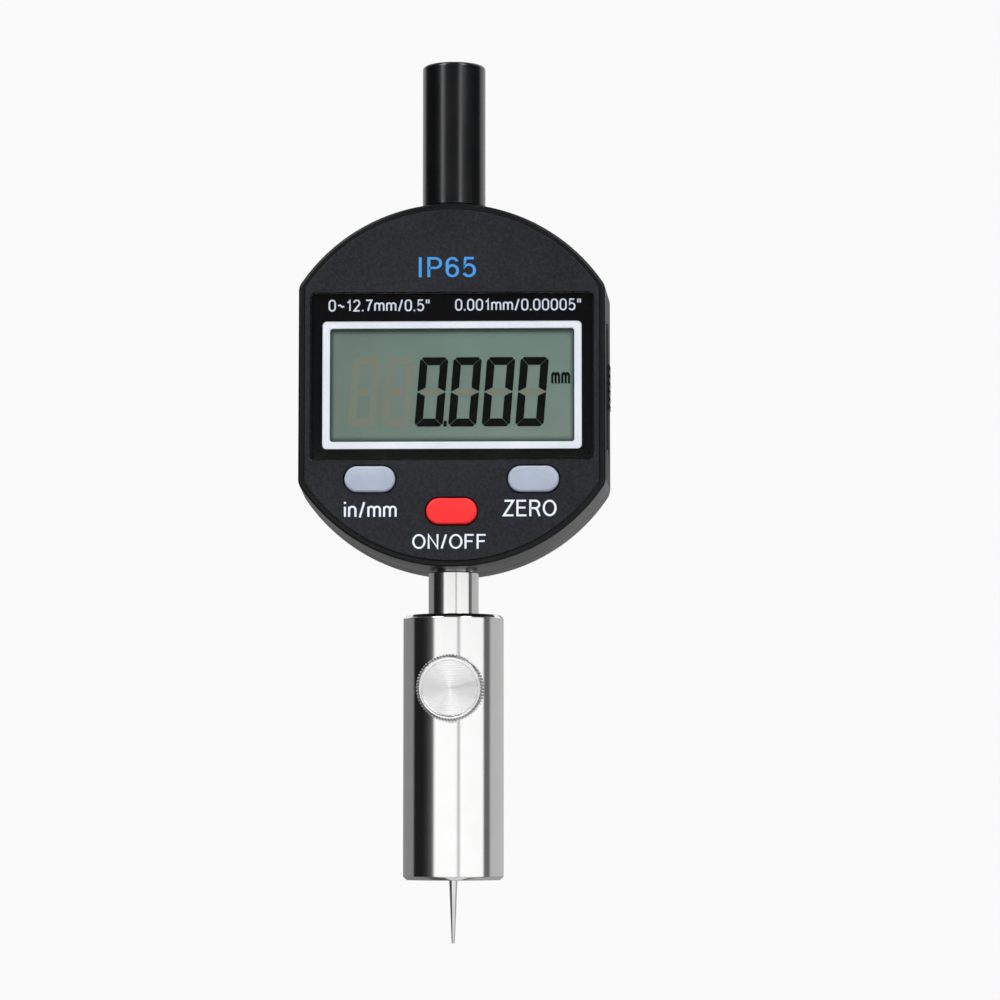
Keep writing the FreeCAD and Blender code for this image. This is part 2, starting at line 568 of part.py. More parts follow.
def capacitive_stator():
    """Copper bars on the back of the board that read the moving scale."""
    bars = []
    for n in range(round(size("stator_bars"))):
        start = f"(stator_height * {n} / stator_bars - stator_height / 2 + stator_lift)"
        bars.append(box("0 - stator_width / 2", "stator_width / 2", BOARD_BACK, f"{BOARD_BACK} + stator_foil",
                        start, f"{start} + stator_height / stator_bars * stator_fill"))
    return group(*bars)


def battery_contact(side):
    """A leaf spring from the board to one face of the cell."""
    if side == "minus":
        leaf_y = "(0 - cell_thickness / 2 - minus_leaf - contact_gap)"
        heel = f"({CELL_X} - contact_foot - contact_reach)"
        leaf = box(heel, f"{CELL_X} + contact_reach", leaf_y, f"{leaf_y} + minus_leaf", "0 - contact_half",
                   "contact_half")
        foot = box(heel, f"{heel} + contact_foot", BOARD_BACK, leaf_y, "0 - contact_half", "contact_half")
        return join(leaf, foot)
    leaf_y = "(cell_thickness / 2 + plus_clearance)"
    arm_x = f"({DRAWER_IN} - arm_setback)"
    arm = box(f"{arm_x} - plus_leaf", arm_x, BOARD_BACK, f"{leaf_y} + plus_leaf", "0 - contact_half",
              "contact_half")
    leaf = box(f"{arm_x} - contact_gap", f"{CELL_X} + contact_foot", leaf_y, f"{leaf_y} + plus_leaf",
               "0 - contact_half", "contact_half")
    return join(arm, leaf)


# ---------------------------------------------------------------- spindle group

STEM_LOW = "(foot_length - stem_engaged)"
SPINDLE_LOW = f"({STEM_LOW} - spindle_bare)"
CARRIAGE_TOP = "(carriage_height / 2 - carriage_drop)"
SCALE_FACE = f"({BOARD_BACK} + stator_foil + scale_gap)"
SCALE_BACK = f"({SCALE_FACE} + scale_thickness)"
SPRING_TOP = f"({CARRIAGE_TOP} - arm_height)"
GUIDE_LOW = f"({SPRING_TOP} - spring_length - holder_height)"
GUIDE_HIGH = f"({CARRIAGE_TOP} + travel + holder_room)"


def spindle():
    """Ground rod, bevelled at its ends, tapped below for the needle."""
    top = f"({CASE} + case_radius - spindle_top_gap)"
    shaft = rod("z", "spindle_dia / 2", f"{top} - {SPINDLE_LOW}", z=SPINDLE_LOW)
    ends = trim_edges(shaft, "Chamfer", "spindle_chamfer", lambda e: e.Closed)
    return less(ends, rod("z", "needle_shank / 2", "needle_tap + past", z=f"{SPINDLE_LOW} - past"))


def contact_needle():
    """Needle point with a collar under the spindle and a shank screwed into it."""
    collar_low = f"({SPINDLE_LOW} - needle_collar)"
    taper_length = f"({collar_low} + needle_out)"
    shank = rod("z", "needle_shank / 2", "needle_thread", z=SPINDLE_LOW)
    collar = rod("z", "needle_collar_dia / 2", "needle_collar", z=collar_low)
    slope = "((needle_root - needle_tip) / 2 / needle_out)"
    point = taper("z", "needle_tip / 2", f"needle_tip / 2 + {slope} * {taper_length}", taper_length,
                  z="0 - needle_out")
    return join(shank, collar, point)


def slider_carriage():
    """Clamp block on the spindle with an arm that reaches the guide rod and the spring."""
    low = f"({CARRIAGE_TOP} - carriage_height)"
    block = box("0 - carriage_width / 2", "carriage_width / 2", SCALE_BACK, "carriage_back", low, CARRIAGE_TOP)
    arm = box("0 - spring_offset - arm_end", "past - carriage_width / 2", f"{SCALE_BACK} + arm_front",
              "carriage_back - arm_back", f"{CARRIAGE_TOP} - arm_height", CARRIAGE_TOP)
    through = "carriage_height + 2 * past"
    bore = rod("z", "spindle_dia / 2", through, z=f"{low} - past")
    guide = rod("z", "guide_dia / 2 + run_gap", through, "0 - guide_offset", z=f"{low} - past")
    hook = rod("z", "hook_dia / 2", "carriage_height", "0 - spring_offset", z=f"{CARRIAGE_TOP} - hook_depth")
    tap = rod("y", "carriage_screw_dia / 2", "carriage_back + past", z=f"{CARRIAGE_TOP} - carriage_height / 2")
    return less(join(block, arm), bore, guide, hook, tap)


def carriage_screw():
    z = f"({CARRIAGE_TOP} - carriage_height / 2)"
    return pan_screw("0", "carriage_back", z, "carriage_back - spindle_dia / 2", "carriage_screw_head",
                     "carriage_screw_height", "carriage_screw_dia")


def moving_scale():
    top = f"({CARRIAGE_TOP} + scale_height / 2 - carriage_height / 2)"
    return box("0 - scale_width / 2", "scale_width / 2", SCALE_FACE, SCALE_BACK, f"{top} - scale_height", top)


def rod_holder(low, reach):
    """A block on the board's back that holds one end of the guide rod, and the spring if it reaches it."""
    high = f"{low} + holder_height"
    foot = box(f"0 - {reach} - holder_half", "holder_half - guide_offset", "0 - holder_half",
               "carriage_back - arm_back", low, high)
    leg = box(f"0 - {reach} - holder_half", f"holder_half - {reach}", BOARD_BACK, "0 - holder_half", low, high)
    hole = rod("z", "guide_dia / 2", "holder_height + 2 * past", "0 - guide_offset", z=f"{low} - past")
    return less(join(foot, leg), hole)


def spring_post():
    return rod_holder(GUIDE_LOW, "spring_offset")


def guide_clip():
    return rod_holder(GUIDE_HIGH, "guide_offset")


def guide_rod():
    return rod("z", "guide_dia / 2", f"{GUIDE_HIGH} + holder_height - {GUIDE_LOW}", "0 - guide_offset",
               z=GUIDE_LOW)


def return_spring():
    """Closed helix between the post and the carriage arm, drawn as one swept wire."""
    wire = size("spring_wire") / 2
    coil_radius = size("spring_dia") / 2 - wire
    low = value(f"{SPRING_TOP} - spring_length + touch_gap") + wire
    high = value(f"{SPRING_TOP} - touch_gap") - wire
    helix = Part.makeHelix((high - low) / size("spring_turns"), high - low, coil_radius)
    section = Part.Wire([Part.Circle(V(coil_radius, 0, 0), V(0, 1, 0), wire).toShape()])
    coil = Part.Wire(helix.Edges).makePipeShell([section], True, True)
    coil.translate(V(-size("spring_offset"), 0, low))
    feature = doc.addObject("Part::Feature", "ReturnSpring")
    feature.Shape = Part.makeCompound([coil])
    return feature


# ---------------------------------------------------------------- stem, top bushing and cap

STEM_END = f"({STEM_LOW} - {CASE})"


def stem_bushing():
    """Steel stem with an inner flange, bored for the spindle and counterbored for the wiper."""
    tube = rod("z", "stem_dia / 2", f"0 - {BOSS_REACH} - {STEM_END}", z=STEM_END)
    tube = trim_edges(tube, "Chamfer", "stem_chamfer",
                      lambda e: e.Closed and middle(e).z < value(f"{STEM_END} + touch_gap"))
    flange = rod("z", "bushing_flange_dia / 2", "bushing_flange", z=f"0 - {BOSS_REACH}")
    bore = rod("z", BORE, THROUGH, z=f"{STEM_END} - past")
    counterbore = rod("z", "spindle_dia / 2 + wiper_section", "wiper_depth + past", z=f"{STEM_END} - past")
    return less(join(tube, flange), bore, counterbore)


def stem_wiper():
    outside = rod("z", "spindle_dia / 2 + wiper_section", "wiper_depth", z=STEM_END)
    return less(outside, rod("z", BORE, "wiper_depth + 2 * past", z=f"{STEM_END} - past"))


def upper_bushing():
    """Guide at the top, with the thread that the cap screws on."""
    tube = rod("z", "cap_thread_dia / 2", f"{CAP_FOOT} + cap_thread_length - {BOSS_REACH}", z=BOSS_REACH)
    flange = rod("z", "bushing_flange_dia / 2", "bushing_flange", z=FLANGE_REACH)
    return less(join(tube, flange), rod("z", BORE, THROUGH, z="0"))


def top_cap():
    """Turned aluminium cap that covers the spindle's upper travel."""
    outside = rod("z", "cap_dia / 2", "cap_length", z=CAP_FOOT)
    rounded = trim_edges(outside, "Fillet", "cap_edge",
                         lambda e: e.Closed and middle(e).z > value(f"{CAP_TOP} - touch_gap"))
    well = rod("z", "cap_dia / 2 - cap_wall", "cap_length - cap_wall", z=CAP_FOOT)
    thread = rod("z", "cap_thread_dia / 2", "cap_thread_length + past", z=CAP_FOOT)
    return less(rounded, well, thread)


def cap_seal():
    """Flat washer seal between the case and the cap, trimmed to the case's round top."""
    blank = rod("z", "cap_dia / 2 - seal_inset", "2 * past", z=f"{CAP_FOOT} - 2 * past")
    blank = less(blank, rod("z", "cap_thread_dia / 2", "6 * past", z=f"{CAP_FOOT} - 4 * past"))
    crown = drafted_prism(FRONT, "front_depth", "0", PARTING_GROW)
    return less(blank, crown)


# ---------------------------------------------------------------- buttons

FLANGE_FRONT = f"({WALL_INSIDE} + flange_gap)"


def button(name):
    """Key cap with round ends, rounded edge and a flange that stays behind the wall."""
    x, z = BUTTONS[name]
    top = f"({PLATE_FACE} - button_proud)"
    key = obround("button_length", "button_width", top, f"{FLANGE_FRONT} - {top}", x, z)
    key = trim_edges(key, "Fillet", "button_edge", lambda e: abs(middle(e).y - value(top)) < 1e-4)
    flange = obround("button_length + 2 * button_flange", "button_width + 2 * button_flange", FLANGE_FRONT,
                     "flange_depth", x, z)
    return join(key, flange)


def plunger(name):
    x, z = BUTTONS[name]
    start = f"({FLANGE_FRONT} + flange_depth)"
    return rod("y", "plunger_dia / 2", f"{BOARD_FACE} - switch_height + plunger_entry - {start}", x, start, z)


# ---------------------------------------------------------------- battery drawer

def seal_ring(proud):
    """A square-section band round the drawer's tray, proud of it by some amount."""
    back = f"({DRAWER_FLAT} - drawer_plate - seal_back)"
    outer = (f"({TRAY_HALF} + {proud})", f"({DRAWER_HEIGHT} / 2 + {proud})")
    inner = (f"({TRAY_HALF} - seal_depth)", f"({DRAWER_HEIGHT} / 2 - seal_depth)")
    return less(box(back, f"{back} + seal_width", f"0 - {outer[0]}", outer[0], f"0 - {outer[1]}", outer[1]),
                box(f"{back} - past", f"{back} + seal_width + past", f"0 - {inner[0]}", inner[0],
                    f"0 - {inner[1]}", inner[1]))


def battery_drawer():
    """Cover plate with a finger ridge and a tray that holds the cell by its edge."""
    plate = box(f"{DRAWER_FLAT} - drawer_plate + touch_gap", DRAWER_FLAT, "0 - drawer_depth / 2",
                "drawer_depth / 2", "0 - drawer_cover / 2", "drawer_cover / 2")
    ridge_face = f"({DRAWER_FLAT} + ridge_proud)"
    ridge = box(DRAWER_FLAT, ridge_face, "ridge_inset - drawer_depth / 2", "drawer_depth / 2 - ridge_inset",
                "0 - ridge_height / 2", "ridge_height / 2")
    ridge = trim_edges(ridge, "Chamfer", "ridge_chamfer", lambda e: abs(middle(e).x - value(ridge_face)) < 1e-4)
    tray = box(DRAWER_IN, f"{DRAWER_FLAT} - drawer_plate + seat_gap", f"0 - {TRAY_HALF}", TRAY_HALF,
               f"0 - {DRAWER_HEIGHT} / 2", f"{DRAWER_HEIGHT} / 2")
    well = rod("y", "cell_dia / 2 + seat_gap", f"2 * {TRAY_HALF} + 2 * past", CELL_X, f"0 - {TRAY_HALF} - past")
    passage = box(f"{DRAWER_IN} - past", CELL_X, f"0 - {TRAY_HALF} - past", f"{TRAY_HALF} + past",
                  "0 - drawer_passage", "drawer_passage")
    return less(join(plate, ridge, tray), well, passage, seal_ring("past"))


def drawer_seal():
    return seal_ring("seal_proud")


def battery_cell():
    can_start = "(cell_thickness / 2 - cell_thickness * cell_can_share)"
    can = rod("y", "cell_dia / 2", "cell_thickness * cell_can_share", CELL_X, can_start)
    top = rod("y", "cell_dia / 2 - cell_step", f"{can_start} + cell_thickness / 2", CELL_X,
              "0 - cell_thickness / 2")
    return join(can, top)


# ---------------------------------------------------------------- foot and its clamp

CLAMP_HEIGHT = "(foot_length - clamp_drop)"
PAD_FACE = "(0 - stem_dia / 2 - touch_gap)"
PAD_BACK = f"({PAD_FACE} - pad_length)"
HEAD_START = "(0 - foot_dia / 2 - clamp_collar_length)"
HEAD_END = f"({HEAD_START} - clamp_head_length)"


def foot_barrel():
    """Turned barrel: bored for the stem above, a well and a hole for the needle below."""
    bar = rod("z", "foot_dia / 2", "foot_length")
    bar = trim_edges(bar, "Chamfer", "foot_chamfer", lambda e: e.Closed)
    bore = rod("z", "stem_dia / 2 + run_gap", "stem_engaged + stem_room + past",
               z=f"{STEM_LOW} - stem_room")
    well = rod("z", "foot_well_dia / 2", "foot_length", z="foot_floor")
    hole = rod("z", "foot_hole_dia / 2", "foot_length", z="0 - past")
    tapped = rod("y", "clamp_shank_dia / 2 + run_gap", "foot_dia", y="0 - foot_dia", z=CLAMP_HEIGHT)
    return less(bar, bore, well, hole, tapped)


def clamp_pad():
    """Brass disc between the screw and the stem, which it doesn't mark."""
    return rod("y", "clamp_shank_dia / 2", "pad_length", y=PAD_BACK, z=CLAMP_HEIGHT)


def clamp_screw():
    """Thumb screw with a straight-knurled head and a dished, turned face."""
    knurls = round(size("knurl_count"))
    outer = size("clamp_head_dia") / 2
    start, length = value(HEAD_END), size("clamp_head_length")
    height, bevel, along = value(CLAMP_HEIGHT), size("clamp_bevel"), V(0, 1, 0)
    outline = []
    for n in range(knurls):
        for share, radius in ((0.0, outer), (0.3, outer), (0.65, outer - size("knurl_depth"))):
            turn = 2 * math.pi * (n + share) / knurls
            outline.append(V(radius * math.cos(turn), start, height + radius * math.sin(turn)))
    head = Part.Face(Part.makePolygon(outline + outline[:1])).extrude(V(0, length, 0))
    wide, slim = outer + bevel, outer - bevel
    turned = Part.makeCone(slim, wide, 2 * bevel, V(0, start, height), along)
    middle_part = Part.makeCylinder(wide, length - 4 * bevel, V(0, start + 2 * bevel, height), along)
    end_bevel = Part.makeCone(wide, slim, 2 * bevel, V(0, start + length - 2 * bevel, height), along)
    head = head.common(turned.fuse([middle_part, end_bevel]))
    dish = Part.makeCylinder(outer - size("clamp_rim"), size("clamp_face_recess"), V(0, start, height), along)
    inner_end = V(0, value(HEAD_START), height)
    collar_length = size("clamp_collar_length") - size("clamp_collar_gap")
    collar = Part.makeCylinder(size("clamp_collar_dia") / 2, collar_length, inner_end, along)
    shank_length = value(f"{PAD_BACK} - {HEAD_START}")
    shank = Part.makeCylinder(size("clamp_shank_dia") / 2, shank_length, inner_end, along)
    feature = doc.addObject("Part::Feature", "ClampScrew")
    feature.Shape = head.cut(dish).fuse([collar, shank]).removeSplitter()
    return feature


# ---------------------------------------------------------------- build every sub-part

CASE_PIECES = {
    "front_housing": front_housing, "back_cover": back_cover, "cover_gasket": cover_gasket,
    "cover_screws": cover_screws, "face_plate": face_plate, "display_lens": display_lens,
    "lens_mask": lens_mask, "display_frame": display_frame, "lcd_front_glass": lcd_front_glass,
    "lcd_rear_glass": lcd_rear_glass, "zebra_strips": zebra_strips, "main_board": main_board,
    "controller_chip": controller_chip, "board_parts": board_parts, "tactile_switches": tactile_switches,
    "capacitive_stator": capacitive_stator, "slider_carriage": slider_carriage,
    "carriage_screw": carriage_screw, "moving_scale": moving_scale, "spring_post": spring_post,
    "guide_clip": guide_clip, "board_screws": board_screws, "guide_rod": guide_rod,
    "return_spring": return_spring, "stem_bushing": stem_bushing,
    "stem_wiper": stem_wiper, "upper_bushing": upper_bushing, "top_cap": top_cap, "cap_seal": cap_seal,
    "battery_drawer": battery_drawer, "drawer_seal": drawer_seal, "battery_cell": battery_cell,
}
FOOT_PIECES = {
    "spindle": spindle, "contact_needle": contact_needle, "foot_barrel": foot_barrel, "clamp_pad": clamp_pad,
    "clamp_screw": clamp_screw,
}

for label, build in CASE_PIECES.items():
    keep(build(), label, CASE)
for label in BUTTONS:
    keep(button(label), f"{label}_button", CASE)
    keep(plunger(label), f"{label}_plunger", CASE)
for side in ("minus", "plus"):
    keep(battery_contact(side), f"battery_contact_{side}", CASE)
for label, build in FOOT_PIECES.items():
    keep(build(), label)

doc.recompute()
faults = [f"{thing.Label}: {thing.State}" for thing in doc.Objects if {"Invalid", "Error"} & set(thing.State)]
for label, thing in made.items():
    if thing.Shape.isNull() or not thing.Shape.isValid() or not thing.Shape.Solids:
        faults.append(f"{label}: bad shape")
if faults:
    raise RuntimeError("; ".join(faults))

os.makedirs("parts", exist_ok=True)
for label, thing in made.items():
    thing.Shape.exportStep(f"parts/{label}.step")
    spread = thing.Shape.BoundBox
    print(f"{label:22s} solids {len(thing.Shape.Solids):2d} volume {thing.Shape.Volume:9.2f} "
          f"x {spread.XMin:7.2f} {spread.XMax:7.2f} y {spread.YMin:7.2f} {spread.YMax:7.2f} "
          f"z {spread.ZMin:7.2f} {spread.ZMax:7.2f}")
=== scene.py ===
import bpy
import bmesh
import json
from math import asin, atan2, cos, pi, radians, sin, sqrt, tan, tau
from mathutils import Matrix, Vector


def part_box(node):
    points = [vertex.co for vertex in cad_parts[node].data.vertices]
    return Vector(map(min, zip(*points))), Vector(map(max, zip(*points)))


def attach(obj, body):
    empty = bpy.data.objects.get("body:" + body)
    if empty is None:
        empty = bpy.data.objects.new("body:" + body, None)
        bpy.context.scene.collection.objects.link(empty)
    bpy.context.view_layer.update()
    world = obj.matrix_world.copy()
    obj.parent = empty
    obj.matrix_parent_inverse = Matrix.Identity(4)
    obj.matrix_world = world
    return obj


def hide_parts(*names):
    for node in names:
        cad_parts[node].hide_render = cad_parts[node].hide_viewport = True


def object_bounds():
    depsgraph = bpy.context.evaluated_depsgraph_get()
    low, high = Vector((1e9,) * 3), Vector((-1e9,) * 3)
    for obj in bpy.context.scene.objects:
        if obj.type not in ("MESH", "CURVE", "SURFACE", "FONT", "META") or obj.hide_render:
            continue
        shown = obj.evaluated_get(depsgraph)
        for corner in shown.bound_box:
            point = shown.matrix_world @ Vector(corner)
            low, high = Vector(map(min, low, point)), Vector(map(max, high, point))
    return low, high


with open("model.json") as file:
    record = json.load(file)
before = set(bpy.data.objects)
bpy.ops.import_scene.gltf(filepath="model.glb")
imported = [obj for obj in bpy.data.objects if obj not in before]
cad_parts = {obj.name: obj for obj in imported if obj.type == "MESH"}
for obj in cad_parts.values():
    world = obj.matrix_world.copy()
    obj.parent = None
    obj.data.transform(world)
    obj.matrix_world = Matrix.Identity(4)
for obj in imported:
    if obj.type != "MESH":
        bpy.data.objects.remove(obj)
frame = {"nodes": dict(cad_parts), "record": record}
cadBox = [list(corner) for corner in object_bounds()]
print("frame loaded:", len(frame["nodes"]), "nodes")

mm = 0.001


def boxOf(name):  # a CAD node's two corners, in millimetres
    return [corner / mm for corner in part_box(name)]


caseLow, caseHigh = boxOf("front_housing")
centreZ = (caseLow.z + caseHigh.z) / 2
rimY = caseLow.y  # front plane of the case
partingY = boxOf("back_cover")[0].y
backY = boxOf("cover_screws")[1].y  # screw heads are flush with the cover
overlayY = boxOf("face_plate")[0].y
onFace = Matrix(((1, 0, 0, 0), (0, 0, -1, 0), (0, 1, 0, 0), (0, 0, 0, 1)))  # drawing plane to the front
onSide = Matrix(((0, 0, 1, 0), (1, 0, 0, 0), (0, 1, 0, 0), (0, 0, 0, 1)))  # drawing plane to the side
atCentre = Matrix.Translation((0, 0, centreZ * mm))
alongY = Matrix.Rotation(radians(90), 4, "X")  # a turned piece's axis from Z to -Y


# colours and nodes

def hexColour(text):
    parts = [int(text[n:n + 2], 16) / 255 for n in (1, 3, 5)]
    linear = [p / 12.92 if p <= 0.04045 else ((p + 0.055) / 1.055) ** 2.4 for p in parts]
    return (*linear, 1.0)


def addNode(tree, kind, settings=None, inputs=None, out=0):
    # adds a shader node, sets it, links it, and gives back one output; a word alone is its operation
    node = tree.nodes.new("ShaderNode" + kind)
    settings = {"operation": settings} if isinstance(settings, str) else settings or {}
    for key, value in settings.items():
        setattr(node, key, value)
    for key, value in (inputs or {}).items():
        if isinstance(value, bpy.types.NodeSocket):
            tree.links.new(value, node.inputs[key])
        else:
            node.inputs[key].default_value = value
    return node.outputs[out] if node.outputs else None


def addObject(name, data):
    thing = bpy.data.objects.new(name, data)
    bpy.context.scene.collection.objects.link(thing)
    return thing


def newMaterial(name):
    material = bpy.data.materials.new(name)
    material.use_nodes = True
    material.node_tree.nodes.clear()
    return material, material.node_tree


def knurlPaintedShade(tree, place, colour, look):
    # painted shade: darker spokes standing in for the dark streaks that the faced rings reflect, and
    # painted shade in the grooves of the knurl
    low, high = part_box("clamp_screw")
    centre = Vector(((low.x + high.x) / 2, 0, (low.z + high.z) / 2))
    offset = addNode(tree, "VectorMath", "SUBTRACT", {0: place, 1: centre})
    flat = addNode(tree, "VectorMath", "MULTIPLY", {0: offset, 1: (1, 0, 1)})
    spoke = addNode(tree, "VectorMath", "NORMALIZE", {0: flat})
    reach = addNode(tree, "VectorMath", "LENGTH", {0: flat}, out="Value")
    # painted reflection: darker spokes in the colour for the dark streaks of the turned face
    streaks = addNode(tree, "TexNoise", inputs={"Vector": spoke, "Scale": 1.6, "Detail": 5.0})
    streakShadeShare = addNode(tree, "MapRange", inputs={
        "Value": streaks, "From Min": 0.55, "From Max": 0.7, "To Max": look["streakShade"]})
    axes = addNode(tree, "SeparateXYZ", inputs={0: flat}).node.outputs
    turn = addNode(tree, "Math", "ARCTAN2", {0: axes[2], 1: axes[0]})
    teeth = addNode(tree, "Math", "MULTIPLY", {0: turn, 1: float(look["knurls"])})
    teeth = addNode(tree, "Math", "COSINE", {0: teeth})
    # painted shade: the knurl's grooves darkened near the rim
    groove = addNode(tree, "MapRange", inputs={
        "Value": teeth, "From Min": 0.2, "From Max": -0.7, "To Max": look["grooveShade"]})
    edge = high.x - 0.5 * mm
    outer = addNode(tree, "MapRange", inputs={
        "Value": reach, "From Min": edge, "From Max": edge + 0.2 * mm})
    grooveShade = addNode(tree, "Math", "MULTIPLY", {0: groove, 1: outer})
    share = addNode(tree, "Math", "MAXIMUM", {0: grooveShade, 1: streakShadeShare})
    return addNode(tree, "Mix", {"data_type": "RGBA"}, {
        0: share, 6: colour, 7: hexColour(look["paintedShadeColour"])}, out=2)


def makeFinish(name, look):
    # two close tones in soft patches, a roughness that follows them, and a fine grain or tool lines as bump
    material, tree = newMaterial(name)
    place = addNode(tree, "TexCoord", out="Object")
    patches = addNode(tree, "TexNoise", inputs={
        "Vector": place, "Scale": 1 / (look["patch"] * mm), "Detail": 3.0})
    grain = addNode(tree, "TexNoise", inputs={
        "Vector": place, "Scale": 1 / (look["grain"] * mm), "Detail": 2.0})
    speck = look.get("speck", 0.25)
    blend = addNode(tree, "Mix", inputs={0: speck, 2: patches, 3: grain})
    share = addNode(tree, "MapRange", inputs={"Value": blend, "From Min": 0.36, "From Max": 0.64})
    colour = addNode(tree, "Mix", {"data_type": "RGBA"}, {
        0: share, 6: hexColour(look["colour"]), 7: hexColour(look["other"])}, out=2)
    rough = addNode(tree, "MapRange", inputs={
        "Value": patches, "From Min": 0.3, "From Max": 0.7,
        "To Min": look["rough"][0], "To Max": look["rough"][1]})
    bump = addNode(tree, "Bump", inputs={
        "Height": grain, "Distance": look["depth"] * mm, "Strength": 1.0})
    if "linePitch" in look:  # tool marks that run round the piece
        lines = addNode(tree, "TexWave", look["lineKind"], {
            "Vector": place, "Scale": tau / 20 / (look["linePitch"] * mm),
            "Distortion": 1.5, "Detail": 2.0, "Detail Scale": 2.0}, "Fac")
        bump = addNode(tree, "Bump", inputs={
            "Height": lines, "Distance": look["lineDepth"] * mm, "Strength": 1.0, "Normal": bump})
    # painted shade in the knurl grooves and painted reflection streaks on the faced steel
    if "knurls" in look:
        colour = knurlPaintedShade(tree, place, colour, look)
    sockets = {"Base Color": colour, "Roughness": rough, "Normal": bump, **look.get("sockets", {})}
    if "knurls" in look:  # the light stretches across the tool's rings
        sockets["Tangent"] = addNode(tree, "Tangent", {"direction_type": "RADIAL", "axis": "Y"})
    shader = addNode(tree, "BsdfPrincipled", inputs=sockets)
    addNode(tree, "OutputMaterial", inputs={"Surface": shader})
    return material


upright = {"wave_type": "BANDS", "bands_direction": "Z"}
concentric = {"wave_type": "RINGS", "rings_direction": "Y"}

